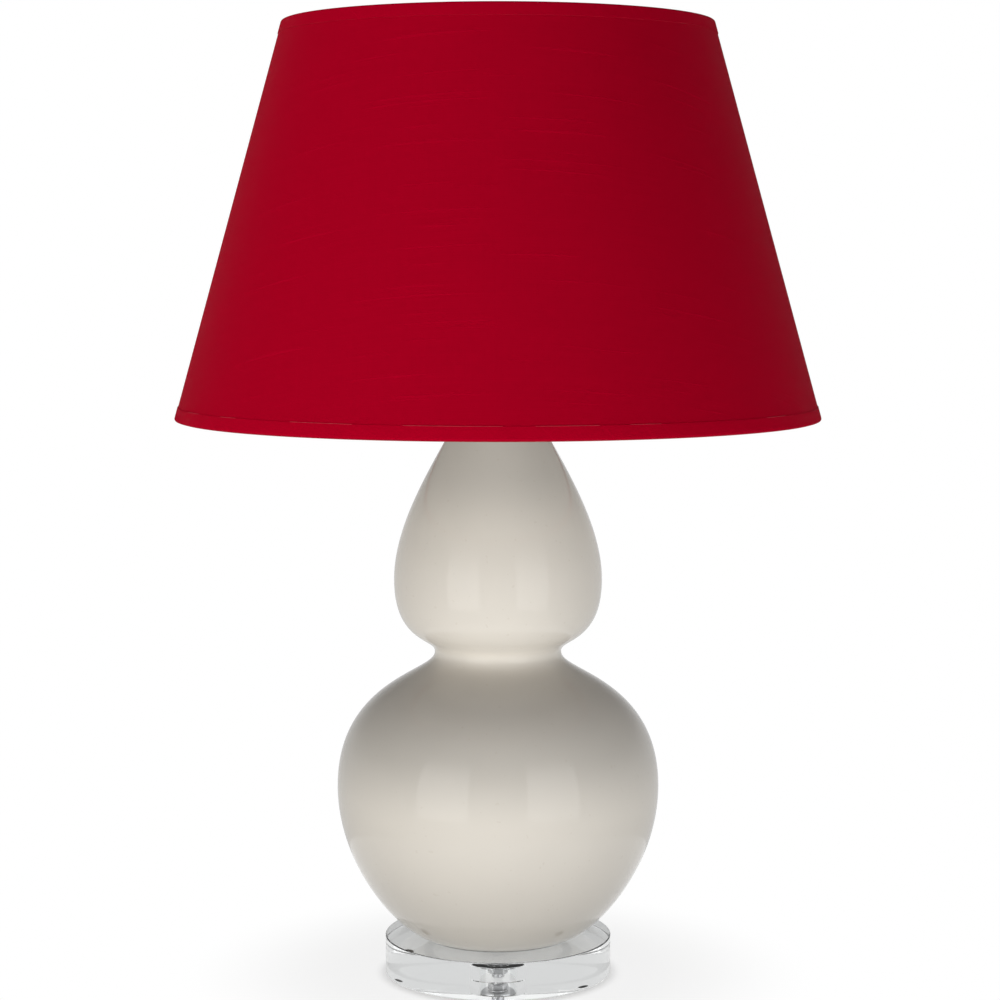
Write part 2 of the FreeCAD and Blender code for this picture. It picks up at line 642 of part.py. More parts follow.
def harp_saddle():
    """Stamped strip: a flat middle under the nut, two sloping arms, and an ear with a tab at each end."""
    metal, ear_end = SADDLE_METAL, HARP_FOOT + HARP_WIRE + FERRULE_WALL + FERRULE_PLAY
    ear_start = TAB_INSIDE - metal
    low, ear_low = SADDLE_BOTTOM, EAR_TOP - metal
    under = [(0, low), (SADDLE_FLAT, low), (ear_start + metal, ear_low), (ear_end, ear_low)]
    over = [(ear_end, EAR_TOP), (ear_start, EAR_TOP), (SADDLE_FLAT - metal / 2, SADDLE_TOP), (0, SADDLE_TOP)]
    right = under + over
    strip = Part.Face(Part.makePolygon([V(x, -SADDLE_WIDTH / 2, z) for x, z in right + right[:1]]))
    tab = block((TAB_INSIDE, -TAB_WIDTH / 2, EAR_TOP - metal / 2),
                (TAB_INSIDE + metal, TAB_WIDTH / 2, EAR_TOP + TAB_HEIGHT))
    half = strip.extrude(V(0, SADDLE_WIDTH, 0)).fuse(tab)
    whole = half.fuse(turned_about_z(half, 180)).removeSplitter()
    return whole.cut(rod(PIPE_HOLE, V(0, 0, low - SPARE), V(0, 0, SADDLE_TOP + SPARE)))


def make_neck_parts():
    save("vase_cap", vase_cap())
    save("neck_spacer", neck_spacer())
    save("check_ring", check_ring())
    save("harp_saddle", harp_saddle())
    save("top_lock_washer", lock_washer(SADDLE_TOP))
    save("top_nut", hex_nut(SADDLE_TOP + LOCK_WASHER_THICKNESS, PIPE_RADIUS + SEAT_GAP))


# ================================================================ harp, its sleeves and its swivel stud
def harp_wire():
    """Two bent halves of wire that meet in a pressed flat, with the stud's hole through it."""
    corner, shoulder = EAR_TOP + HARP_LEG, EAR_TOP + HARP_LEG + HARP_SPREAD

    def half(side):
        corners = [V(side * HARP_FOOT, 0, HARP_BOTTOM), V(side * HARP_FOOT, 0, corner),
                   V(side * HARP_HALF_WIDTH, 0, shoulder), V(side * HARP_HALF_WIDTH, 0, shoulder + HARP_SIDE),
                   V(side * HARP_TOP_HALF, 0, HARP_TOP), V(0, 0, HARP_TOP)]
        path = rounded_path(corners, [HARP_BEND, HARP_BEND, HARP_SHOULDER_BEND, HARP_TOP_BEND])
        return wire_along(path, HARP_WIRE)

    reach, wide, around = HARP_FLAT_LENGTH / 2, HARP_FLAT_WIDTH / 2, HARP_WIRE + SPARE
    trim = block((-reach, -around, HARP_TOP - around), (reach, around, HARP_TOP + around))
    pressed = block((-reach, -wide, FLAT_BOTTOM), (reach, wide, FLAT_TOP))
    uprights = [edge for edge in pressed.Edges if edge.BoundBox.ZLength > HARP_FLAT_THICKNESS / 2]
    pressed = pressed.makeChamfer(wide - HARP_WIRE, uprights)
    hole = rod(SHANK_RADIUS + SHANK_PLAY, V(0, 0, FLAT_BOTTOM - SPARE), V(0, 0, FLAT_TOP + SPARE))
    return half(1).fuse(half(-1)).cut(trim).fuse(pressed).removeSplitter().cut(hole)


def ferrule(side):
    """A sleeve that drops over the foot of the harp and the saddle's tab."""
    middle = (TAB_INSIDE + HARP_FOOT + HARP_WIRE) / 2
    reach = math.hypot(middle - TAB_INSIDE, TAB_WIDTH / 2)
    inside = max(reach, HARP_FOOT + HARP_WIRE - middle) + FERRULE_PLAY
    outside, step = inside + FERRULE_WALL, FERRULE_STEP
    low, high = HARP_BOTTOM, HARP_BOTTOM + FERRULE_HEIGHT
    sleeve = (Outline(inside, low)
              .to((outside, low), (outside, low + FERRULE_BAND - step), (outside - step, low + FERRULE_BAND),
                  (outside - step, high - FERRULE_TAPER), (outside - 2 * step, high), (inside, high))
              .turned())
    sleeve.translate(V(side * middle, 0, 0))
    return sleeve


def harp_stud():
    """The swivel stud: a rivet head under the harp's flat, a collar on it and a screw above the saucer."""
    head, tip = FLAT_BOTTOM - SEAT_GAP, SAUCER_TOP + STUD_LENGTH
    low = head - RIVET_THICKNESS
    return (Outline(0, low)
            .to((RIVET_RADIUS - STUD_EDGE, low), (RIVET_RADIUS, low + STUD_EDGE), (RIVET_RADIUS, head),
                (SHANK_RADIUS, head), (SHANK_RADIUS, COLLAR_BOTTOM), (COLLAR_RADIUS, COLLAR_BOTTOM),
                (COLLAR_RADIUS, SAUCER_BOTTOM), (STUD_RADIUS, SAUCER_BOTTOM), (STUD_RADIUS, tip - STUD_EDGE),
                (STUD_RADIUS - STUD_EDGE, tip), (0, tip))
            .turned())


def harp_saucer():
    rim, edge = SAUCER_RADIUS, SAUCER_RADIUS - SAUCER_ROUND
    return (Outline(STUD_RADIUS + GLUE_GAP, SAUCER_BOTTOM)
            .to((edge, SAUCER_BOTTOM))
            .arc((rim, SAUCER_BOTTOM + SAUCER_THICKNESS / 2), (edge, SAUCER_TOP))
            .to((STUD_RADIUS + GLUE_GAP, SAUCER_TOP))
            .turned())


def make_harp():
    save("harp_wire", harp_wire())
    save("harp_sleeve_right", ferrule(1))
    save("harp_sleeve_left", ferrule(-1))
    save("harp_stud", harp_stud())
    save("harp_saucer", harp_saucer())


# ================================================================ socket and switch
def socket_cap():
    """A spun cup under the socket: a short hub on the pipe, a rounded bottom and a skirt round the shell."""
    low, hub_top = SOCKET_BOTTOM, SOCKET_BOTTOM + HUB_HEIGHT
    rim, inside, bore, bevel = SOCKET_CAP_RADIUS, SOCKET_CAP_INSIDE, PIPE_RADIUS + SEAT_GAP, SOCKET_CAP_BEVEL
    cap = (Outline(bore, low)
           .to((HUB_RADIUS - bevel, low), (HUB_RADIUS, low + bevel), (HUB_RADIUS, hub_top))
           .quarter(rim, SHELL_BOTTOM, upright=False)
           .to((rim, SOCKET_CAP_RIM), (inside, SOCKET_CAP_RIM), (inside, SHELL_BOTTOM))
           .quarter(BLOCK_RADIUS - BLOCK_SHOULDER, CAP_FLOOR)
           .to((bore, CAP_FLOOR))
           .turned())
    middle = low + HUB_HEIGHT / 2
    return cap.cut(rod(SET_SCREW_RADIUS + GLUE_GAP, V(0, 0, middle), V(HUB_RADIUS + SPARE, 0, middle)))


def set_screw():
    middle = SOCKET_BOTTOM + HUB_HEIGHT / 2
    start = PIPE_RADIUS + SEAT_GAP
    end = start + SET_SCREW_LENGTH
    screw = rod(SET_SCREW_RADIUS, V(start, 0, middle), V(end, 0, middle))
    across, half_slot = SET_SCREW_RADIUS + SPARE, SET_SCREW_SLOT / 2
    slot = block((end - SET_SCREW_SLOT_DEPTH, -across, middle - half_slot),
                 (end + SPARE, across, middle + half_slot))
    return screw.cut(slot)


def shaft_hole(radius):
    """The hole that the switch shaft passes through."""
    return rod(radius, V(0, -SHAFT_DEPTH, SHAFT_AXIS), V(0, -SOCKET_CAP_RADIUS - SPARE, SHAFT_AXIS))


def socket_shell():
    outside, inside, low, high = SHELL_RADIUS, SHELL_INSIDE, SHELL_BOTTOM, SHELL_TOP
    bead, swell, groove = high - 3 * SHELL_BEAD, SHELL_BEAD, SHELL_BEAD * 0.6
    shell = (Outline(inside, low)
             .to((outside, low), (outside, bead - swell))
             .arc((outside + swell, bead), (outside, bead + swell))
             .to((outside, high), (inside, high), (inside, bead + groove))
             .arc((inside + groove, bead), (inside, bead - groove))
             .turned())
    return shell.cut(shaft_hole(SHAFT_RADIUS + SHAFT_WINDOW))


def shell_liner():
    liner = tube(LINER_INSIDE, LINER_OUTSIDE, SHELL_BOTTOM + LINER_FOOT_GAP, SHELL_TOP - LINER_SETBACK)
    return liner.cut(shaft_hole(SHAFT_RADIUS + SHAFT_WINDOW))


def switch_block():
    rim, low, high = BLOCK_RADIUS, BLOCK_BOTTOM, BLOCK_TOP
    body = (Outline(0, low)
            .to((rim - BLOCK_SHOULDER, low), (rim, low + BLOCK_SHOULDER), (rim, high - BLOCK_EDGE),
                (rim - BLOCK_EDGE, high), (0, high))
            .turned())
    beside = block((BLOCK_FLAT, -rim, low - SPARE), (rim + SPARE, rim, high - BLOCK_FLAT_SETBACK))
    screw_hole = rod(TERMINAL_SHANK + GLUE_GAP, terminal_at(BLOCK_FLAT - TERMINAL_SHANK_LENGTH - SEAT_GAP),
                     terminal_at(BLOCK_FLAT + SPARE))
    for side in (0, 180):
        body = body.cut(turned_about_z(beside, side)).cut(turned_about_z(screw_hole, side))
    return body.cut(shaft_hole(SHAFT_RADIUS + SHAFT_PLAY))


def terminal_at(x):
    """A point on the axis of the right-hand terminal screw."""
    return V(x, 0, BLOCK_BOTTOM + TERMINAL_RISE)


def terminal_screws():
    seat, outer = BLOCK_FLAT + GLUE_GAP, BLOCK_FLAT + GLUE_GAP + TERMINAL_HEAD
    middle = terminal_at(0).z
    screw = rod(TERMINAL_SHANK, terminal_at(BLOCK_FLAT - TERMINAL_SHANK_LENGTH), terminal_at(seat))
    screw = screw.fuse(rod(TERMINAL_RADIUS, terminal_at(seat), terminal_at(outer)))
    across, half_slot = TERMINAL_RADIUS + SPARE, TERMINAL_SLOT_WIDTH / 2
    slot = block((outer - TERMINAL_SLOT_DEPTH, -across, middle - half_slot),
                 (outer + SPARE, across, middle + half_slot))
    screw = screw.cut(slot)
    return [screw, turned_about_z(screw, 180)]


def screw_shell():
    """The sleeve that the bulb screws into, with rolled rings outside and a turned-in flange at its foot."""
    inside, outside, low = SCREW_SHELL_INSIDE, SCREW_SHELL_OUTSIDE, BLOCK_TOP
    high, flange = low + SCREW_SHELL_HEIGHT, SCREW_SHELL_INSIDE - SCREW_SHELL_FLANGE
    ring = high - THREAD_TURNS * THREAD_PITCH
    outline = Outline(flange, low).to((outside, low), (outside, ring))
    for _ in range(THREAD_TURNS):
        outline.arc((outside + SCREW_SHELL_RING, ring + THREAD_PITCH / 2), (outside, ring + THREAD_PITCH))
        ring += THREAD_PITCH
    outline.to((inside, high), (inside, low + SCREW_SHELL_WALL), (flange, low + SCREW_SHELL_WALL))
    return outline.turned()


def centre_contact():
    """A brass tongue fixed to the block, folded back so that its free end springs up against the bulb."""
    metal, low, reach, pad = CONTACT_METAL, BLOCK_TOP, CONTACT_HALF_LENGTH, CONTACT_PAD
    top = low + CONTACT_RISE + metal
    foot = [(-reach, low), (reach, low), (reach, low + metal), (-reach + 2 * metal, low + metal)]
    tongue = [(-pad + metal, top - metal), (pad, top - metal), (pad, top), (-pad, top),
              (-reach, low + 2 * metal)]
    side = foot + tongue
    strip = Part.Face(Part.makePolygon([V(x, -CONTACT_WIDTH / 2, z) for x, z in side + side[:1]]))
    return strip.extrude(V(0, CONTACT_WIDTH, 0))


def switch_shaft():
    inner, outer = SHAFT_DEPTH + SEAT_GAP, SHAFT_REACH - KNOB_CAP - GLUE_GAP
    return rod(SHAFT_RADIUS, V(0, -inner, SHAFT_AXIS), V(0, -outer, SHAFT_AXIS))


def switch_knob():
    """A fluted knob, drawn standing on its inner face and then laid along the shaft."""
    bore, hole_end = SHAFT_RADIUS + GLUE_GAP, KNOB_LENGTH - KNOB_CAP
    body = (Outline(bore, 0)
            .to((KNOB_NECK_RADIUS, 0), (KNOB_RADIUS, KNOB_FLARE), (KNOB_RADIUS, KNOB_LENGTH - KNOB_ROUND))
            .quarter(KNOB_RADIUS - KNOB_ROUND, KNOB_LENGTH)
            .to((0, KNOB_LENGTH), (0, hole_end), (bore, hole_end))
            .turned())
    axis = KNOB_RADIUS + KNOB_FLUTE_OUTSIDE
    flute = rod(KNOB_FLUTE_RADIUS, V(axis, 0, KNOB_FLARE / 2), V(axis, 0, KNOB_LENGTH + SPARE))
    for n in range(KNOB_FLUTES):
        body = body.cut(turned_about_z(flute, 360.0 * n / KNOB_FLUTES))
    place = V(0, -SHAFT_REACH + KNOB_LENGTH, SHAFT_AXIS)
    body.Placement = FreeCAD.Placement(place, FreeCAD.Rotation(UP, V(0, -1, 0)))
    return body


def make_socket():
    save("socket_cap", socket_cap())
    save("cap_set_screw", set_screw())
    save("socket_shell", socket_shell())
    save("shell_liner", shell_liner())
    save("switch_block", switch_block())
    save("terminal_screws", *terminal_screws())
    save("screw_shell", screw_shell())
    save("centre_contact", centre_contact())
    save("switch_shaft", switch_shaft())
    save("switch_knob", switch_knob())


# ================================================================ bulb
def bulb_contact():
    low, high = BULB_BOTTOM, BULB_BOTTOM + TIP_HEIGHT
    return Outline(0, low).quarter(TIP_RADIUS, high, upright=False).to((0, high)).turned()


def bulb_insulator():
    low, high = BULB_BOTTOM + TIP_HEIGHT, BULB_SCREW_BOTTOM
    wide = THREAD_RADIUS - THREAD_DEPTH - INSULATOR_INSET
    return Outline(0, low).to((TIP_RADIUS, low)).quarter(wide, high, upright=False).to((0, high)).turned()


def bulb_screw_cap():
    """The thin screw cap, with one rolled ring for each turn of its thread."""
    root, low, high = THREAD_RADIUS - THREAD_DEPTH, BULB_SCREW_BOTTOM, BULB_CAP_TOP
    inside, lip, ring = root - BULB_CAP_METAL, root - BULB_CAP_LIP, low + BULB_CAP_EDGE
    outline = Outline(lip, low).to((root, ring))
    for _ in range(THREAD_TURNS):
        outline.arc((THREAD_RADIUS, ring + THREAD_PITCH / 2), (root, ring + THREAD_PITCH))
        ring += THREAD_PITCH
    outline.to((THREAD_RADIUS, high - BULB_COLLAR_BAND), (THREAD_RADIUS, high), (inside, high),
               (inside, low + BULB_CAP_EDGE + BULB_CAP_METAL), (lip, low + BULB_CAP_METAL))
    return outline.turned()


def bulb_glass():
    low, high = GLASS_BOTTOM, GLASS_BOTTOM + BULB_LENGTH

    def skin(inset, start):
        """The bulb's side from its neck, closed over its top, that far inside the glass."""
        ball = (BULB_RADIUS - inset, high - BULB_RADIUS)
        outline = Outline(0, start).to((BULB_NECK_RADIUS - inset, start))
        return outline.curve((0, BULB_NECK_FULL), (0, BULB_BALL_FULL), ball).quarter(0, high - inset).turned()

    return skin(0, low).cut(skin(BULB_GLASS, low - SPARE))


def bulb_stem():
    low, high = GLASS_BOTTOM, GLASS_BOTTOM + STEM_HEIGHT
    wide, thin = BULB_NECK_RADIUS - BULB_GLASS - STEM_PLAY, STEM_RADIUS
    return (Outline(0, low)
            .to((wide, low), (wide, low + STEM_FOOT))
            .curve(((thin - wide) * ROUND_HANDLE, 0), (0, STEM_FLARE), (thin, (low + high) / 2))
            .to((thin, high), (0, high))
            .turned())


def bulb_filament():
    low = GLASS_BOTTOM + STEM_HEIGHT + GLUE_GAP
    foot, wide, high = STEM_RADIUS - 2 * FILAMENT_WIRE, FILAMENT_HALF_WIDTH, low + FILAMENT_RISE
    right = [V(foot, 0, low), V(foot, 0, low + FILAMENT_LEG), V(wide, 0, high)]
    left = [V(-corner.x, 0, corner.z) for corner in right]
    return wire_along(rounded_path(left + right[::-1], [FILAMENT_BEND] * 4), FILAMENT_WIRE)


def make_bulb():
    save("bulb_contact", bulb_contact())
    save("bulb_insulator", bulb_insulator())
    save("bulb_screw_cap", bulb_screw_cap())
    save("bulb_glass", bulb_glass())
    save("bulb_stem", bulb_stem())
    save("bulb_filament", bulb_filament())


# ================================================================ shade
SLANT = math.hypot(SHADE_HEIGHT, SHADE_BOTTOM_RADIUS - SHADE_TOP_RADIUS)
LEAN = ((SHADE_TOP_RADIUS - SHADE_BOTTOM_RADIUS) / SLANT, SHADE_HEIGHT / SLANT)
PANEL = FABRIC + GLUE_GAP + STYRENE
RING_INSET = PANEL + RING_PLAY + RING_WIRE


def on_shade(up, inward):
    """Radius and height of the point that far up the shade's slant and that far inside its cloth."""
    return (SHADE_BOTTOM_RADIUS + up * LEAN[0] - inward * LEAN[1],
            SHADE_BOTTOM + up * LEAN[1] + inward * LEAN[0])


def cone_layer(outer, inner):
    return (Outline(*on_shade(0, outer))
            .to(on_shade(SLANT, outer), on_shade(SLANT, inner), on_shade(0, inner))
            .turned())


def edge_trim(at_top):
    """Bias strip folded over a rim: down the outside, round the wire ring and back up to the liner inside."""
    def at(up, inward):
        return on_shade(SLANT - up if at_top else up, inward)

    def fold(up, inward, down, across, sense=1):
        """Creases of a quarter turn about a centre, from straight down to level, outwards or inwards."""
        angles = [math.radians(90.0 * n / FOLD_CREASES) for n in range(FOLD_CREASES + 1)]
        return [at(up - down * math.cos(a), inward + sense * across * math.sin(a)) for a in angles]

    gap, cloth, ring = GLUE_GAP, TRIM_FABRIC, RING_WIRE
    under, over = ring + TRIM_PLAY, ring + TRIM_PLAY + cloth
    lap, corner = PANEL + gap, TRIM_PLAY + cloth
    outer_fold = fold(corner, corner, 2 * corner, corner + gap + cloth, -1)
    return (Outline(*at(TRIM_HEIGHT, -gap))
            .to(at(TRIM_HEIGHT, -gap - cloth), *outer_fold[::-1])
            .to(*fold(ring, RING_INSET, over, over))
            .to(at(2 * ring, RING_INSET + over), at(TRIM_HEIGHT, lap + cloth), at(TRIM_HEIGHT, lap),
                at(2 * ring, RING_INSET + under))
            .to(*fold(ring, RING_INSET, under, under)[::-1])
            .to(at(-TRIM_PLAY, -gap))
            .turned())


def notched_top_trim():
    """The top strip, cut away round each arm of the spider."""
    trim = edge_trim(True)
    for arm in spider_arms(RING_WIRE + ARM_NOTCH, RING_WIRE):
        trim = trim.cut(arm)
    return trim


def wire_ring(up):
    radius, height = on_shade(up, RING_INSET)
    return Part.makeTorus(radius, RING_WIRE, V(0, 0, height), UP)


def seam_lap():
    """The cloth's overlapped end, a narrow strip up the back between the two trims."""
    low, high = TRIM_HEIGHT + GLUE_GAP, SLANT - TRIM_HEIGHT - GLUE_GAP
    outer, inner = -GLUE_GAP - FABRIC, -GLUE_GAP
    sweep = math.degrees(SEAM_WIDTH / SHADE_BOTTOM_RADIUS)
    strip = (Outline(*on_shade(low, outer))
             .to(on_shade(high, outer), on_shade(high, inner), on_shade(low, inner))
             .turned(sweep))
    return turned_about_z(strip, 90 - sweep / 2)


def spider_arms(wire, past_end):
    """The arms from the hub to the top ring, in wire of that radius, run on past its side by past_end."""
    middle = (HUB_BOTTOM + HUB_TOP) / 2
    ring_radius, ring_height = on_shade(SLANT - RING_WIRE, RING_INSET)
    bend = V(ring_radius - SPIDER_BEND_INSET, 0, middle)
    rise = (V(ring_radius, 0, ring_height) - bend).normalize()
    end = V(ring_radius, 0, ring_height) - rise * (RING_WIRE + GLUE_GAP - past_end)
    path = rounded_path([V(SPIDER_HUB_RADIUS + GLUE_GAP, 0, middle), bend, end], [SPIDER_BEND])
    arm = wire_along(path, wire)
    return [turned_about_z(arm, SPIDER_FIRST_ANGLE + 360.0 * n / SPIDER_ARMS) for n in range(SPIDER_ARMS)]


def make_shade():
    save("shade_fabric", cone_layer(0, FABRIC))
    save("shade_liner", cone_layer(FABRIC + GLUE_GAP, PANEL))
    save("bottom_ring", wire_ring(RING_WIRE))
    save("top_ring", wire_ring(SLANT - RING_WIRE))
    save("bottom_trim", edge_trim(False))
    save("top_trim", notched_top_trim())
    save("seam_lap", seam_lap())
    save("spider_hub", tube(SPIDER_HUB_BORE, SPIDER_HUB_RADIUS, HUB_BOTTOM, HUB_TOP))
    save("spider_arms", *spider_arms(RING_WIRE, 0.0))


# ================================================================ finial
def finial():
    """A ball on a cove and a thin foot, with a blind bore for the stud and a small tip."""
    low, bore, foot, edge = FINIAL_BOTTOM, STUD_RADIUS + FINIAL_PLAY, FINIAL_FOOT_RADIUS, FINIAL_EDGE
    foot_top = low + FINIAL_FOOT_THICKNESS
    neck_top = foot_top + FINIAL_NECK_HEIGHT
    ball, neck, tip = FINIAL_BALL_RADIUS, FINIAL_NECK_RADIUS, FINIAL_TIP_RADIUS
    middle = neck_top + math.sqrt(ball**2 - neck**2)
    tip_low = middle + math.sqrt(ball**2 - tip**2)
    bore_top = SAUCER_TOP + STUD_LENGTH + FINIAL_BORE_SPARE
    return (Outline(bore, low)
            .to((foot - edge, low), (foot, low + edge), (foot, foot_top - edge), (foot - edge, foot_top))
            .curve((-FINIAL_COVE, 0), (0, FINIAL_COVE), (neck, neck_top))
            .arc((ball, middle), (tip, tip_low))
            .quarter(0, tip_low + FINIAL_TIP_HEIGHT)
            .to((0, bore_top), (bore, bore_top))
            .turned())


def make_finial():
    save("finial", finial())


def main():
    os.makedirs(OUT, exist_ok=True)
    make_clear_base()
    make_gourd()
    make_neck_parts()
    make_harp()
    make_socket()
    make_bulb()
    make_shade()
    make_finial()
    print(f"gourd {GOURD_FOOT:.1f} to {GOURD_TOP:.1f}, socket {SOCKET_BOTTOM:.1f} to {SHELL_TOP:.1f}")
    print(f"bulb {BULB_BOTTOM:.1f} to {GLASS_BOTTOM + BULB_LENGTH:.1f}, harp top {HARP_TOP:.1f}")
    print(f"shade {SHADE_BOTTOM:.1f} to {SHADE_TOP:.1f}, axis of the switch {SHAFT_AXIS:.2f}")
    seat, outward = inlet_seat()
    print(f"inlet at {seat.y:.3f}, {seat.z:.3f} facing {outward.y:.5f}, {outward.z:.5f}")


main()
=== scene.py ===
# %% [markdown]
# # A double gourd table lamp
#
# The lamp is a glazed ceramic double gourd on a thick disc of clear acrylic. A harp over the bulb carries
# an empire shade: deep red cotton laminated to white styrene, with a folded strip of the same cloth round
# each rim. The packed model is the frame. It gives the place of every piece and what moves with what.
# This script dresses it: some frame nodes keep their mesh and get a finish, and the ones that need a
# finer surface are made again.

# %% Load the frame
import json
import math

import bmesh
import bpy
from mathutils import Matrix, Vector


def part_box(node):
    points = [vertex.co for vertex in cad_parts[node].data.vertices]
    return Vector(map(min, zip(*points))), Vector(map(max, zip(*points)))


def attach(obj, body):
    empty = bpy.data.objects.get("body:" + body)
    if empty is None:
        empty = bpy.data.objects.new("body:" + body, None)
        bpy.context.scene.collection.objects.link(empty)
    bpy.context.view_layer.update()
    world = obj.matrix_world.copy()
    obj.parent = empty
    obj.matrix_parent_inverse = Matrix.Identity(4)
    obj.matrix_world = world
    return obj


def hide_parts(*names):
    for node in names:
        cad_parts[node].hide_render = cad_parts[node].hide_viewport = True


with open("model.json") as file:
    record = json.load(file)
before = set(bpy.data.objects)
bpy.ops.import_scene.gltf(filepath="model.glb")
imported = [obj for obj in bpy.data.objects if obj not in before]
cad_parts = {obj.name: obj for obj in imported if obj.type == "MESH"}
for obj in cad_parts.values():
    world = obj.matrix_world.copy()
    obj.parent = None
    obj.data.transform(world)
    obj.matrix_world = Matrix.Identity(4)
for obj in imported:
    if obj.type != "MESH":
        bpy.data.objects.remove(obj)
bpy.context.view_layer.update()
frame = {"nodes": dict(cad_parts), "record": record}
node = frame["nodes"]
MM = 0.001


def in_scene(name, data):
    """A new object that shows a mesh, a light or a camera."""
    made = bpy.data.objects.new(name, data)
    bpy.context.scene.collection.objects.link(made)
    return made


# %% [markdown]
# ## Node trees as expressions
#
# Finishes and shapes both come from node trees. Wiring each Math node by hand hides the formula, so one
# small class wraps a socket and lets Python's operators add the Math nodes. Everything else comes from
# one method that takes a node's type, its settings and the values or links of its sockets.

# %% A socket in an expression
class Link:
    """An output socket that can be used in an expression."""

    def __init__(self, graph, socket):
        self.graph, self.socket = graph, socket

    def math(self, operation, *others):
        return self.graph.node("ShaderNodeMath", {"operation": operation}, self, *others)

    def __add__(self, other):
        return self.math("ADD", other)

    def __sub__(self, other):
        return self.math("SUBTRACT", other)

    def __rsub__(self, other):
        return self.graph.node("ShaderNodeMath", {"operation": "SUBTRACT"}, other, self)

    def __mul__(self, other):
        return self.math("MULTIPLY", other)

    def __truediv__(self, other):
        return self.math("DIVIDE", other)

    __radd__ = __add__
    __rmul__ = __mul__


operators = [name.strip("_") for name in vars(Link)]
print("operators:", [name for name in operators if name[-3:] in ("add", "sub", "mul", "div")])

# %% [markdown]
# The class below holds one node tree, of a finish, a shape or the surround, and adds nodes to it. Every
# tree in the lesson is written with it, so its inputs and formulas can be read from the text.

# %% A node tree
class Graph:
    """A node tree, and what adds nodes to it."""

    def __init__(self, tree):
        self.tree = tree

    def put(self, socket, value):
        """Links a link and sets a constant."""
        if isinstance(value, Link):
            self.tree.links.new(value.socket, socket)
        elif value is not None:
            socket.default_value = value

    def node(self, kind, settings, *values, out=0, **named):
        """A new node with its settings and inputs, as a link to one of its outputs."""
        made = self.tree.nodes.new(kind)
        for name, value in settings.items():
            setattr(made, name, value)
        for socket, value in zip(made.inputs, values):
            self.put(socket, value)
        for name, value in named.items():
            self.put(made.inputs[name.replace("_", " ")], value)
        return Link(self, made.outputs[out])

    def mix(self, amount, a, b):
        """A blend of two colours: a where the amount is 0, b where it is 1."""
        a, b = (colour if isinstance(colour, Link) else (*colour, 1.0) for colour in (a, b))
        unused = [None] * 5
        return self.node("ShaderNodeMix", {"data_type": "RGBA"}, amount, *unused, a, b, out=2)

    def step(self, value, low, high):
        """0 below low, 1 above high and a smooth rise between them."""
        smooth = {"interpolation_type": "SMOOTHSTEP"}
        return self.node("ShaderNodeMapRange", smooth, value, low, high, 0.0, 1.0)


print("a tree can", [name for name in vars(Graph) if not name.startswith("_")])

# %% [markdown]
# ## Finishes
#
# Every finish starts from the same shader. Values that are the same all over a surface are set on the
# shader's own sockets. Values that change over it come from textures read in object coordinates, which
# are the lamp's own metres, so a grain stays the same size on every piece.

# %% A finish with its shader
class Finish(Graph):
    """A material with the one shader that every finish starts from."""

    def __init__(self, name, **constants):
        self.material = bpy.data.materials.new(name)
        self.material.use_nodes = True
        super().__init__(self.material.node_tree)
        self.tree.nodes.clear()
        self.shader = self.tree.nodes.new("ShaderNodeBsdfPrincipled")
        self.output = self.tree.nodes.new("ShaderNodeOutputMaterial")
        self.tree.links.new(self.shader.outputs[0], self.output.inputs[0])
        self.feed(**constants)

    def feed(self, **values):
        """Gives the shader's inputs, with an underscore for each space in their names."""
        for name, value in values.items():
            self.put(self.shader.inputs[name.replace("_", " ")], value)

    def place(self):
        """The place on the lamp, in metres."""
        return self.node("ShaderNodeTexCoord", {}, out=3)

    def stretched(self, place, scale, turn=0.0):
        """The place, turned about Z and stretched, for a pattern that runs one way."""
        return self.node("ShaderNodeMapping", {}, place, None, (0.0, 0.0, turn), scale)

    def noise(self, place, scale, detail=2.0, roughness=0.5):
        return self.node("ShaderNodeTexNoise", {}, Vector=place, Scale=scale, Detail=detail,
                         Roughness=roughness)

    def bump(self, height, depth, strength=1.0):
        """A surface that rises by the depth, in metres, where the height is 1."""
        return self.node("ShaderNodeBump", {}, Strength=strength, Distance=depth, Height=height)


def three_parts(link):
    """Splits a place or a direction into X, Y and Z."""
    return [link.graph.node("ShaderNodeSeparateXYZ", {}, link, out=i) for i in range(3)]


print("a finish can be given", [name for name in vars(Finish) if not name.startswith("_")])

# %% [markdown]
# ### The glaze
#
# The body is slip-cast white ware under a warm ivory glaze. The glaze is glassy, so the studio's soft
# boxes show in it as pale upright panels. Painted shade darkens its colour in a band under the waist and
# again towards the neck, and it holds a few pinholes and specks. The foot ring is wiped bare before
# firing. The bands follow the height alone, so smooth steps of the height make them. One noise adds
# faint clouds of a darker tone at random.

# %% Glaze
GOURD_NODES = [name for name in node if name.startswith("gourd_")]
FOOT_Z = min(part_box(name)[0].z for name in GOURD_NODES)
WAIST_H = 228.5
WAIST_Z = FOOT_Z + WAIST_H * MM
BARE_FOOT = 1.1 * MM
# Painted shade: the glaze's colour is darkened in a band under the waist and towards the neck, standing in
# for shadow.
SHADE_BAND_START, SHADE_BAND_FULL, SHADE_BAND_FADES, SHADE_BAND_END = -0.120, -0.065, -0.014, 0.004   # from the waist, upwards
NECK_SHADE_START, NECK_SHADE_FULL = 0.098, 0.150                                           # from the waist, upwards
SHADE_BAND_SHARE, NECK_SHADE_SHARE, CLOUD_SHARE, SPECK_SHARE = 0.8, 0.85, 0.12, 0.10
SPECK_BROWN = (0.42, 0.33, 0.22)
IVORY, SHADE_AND_CLOUD_IVORY, BISCUIT = (0.755, 0.712, 0.640), (0.575, 0.545, 0.495), (0.62, 0.57, 0.49)


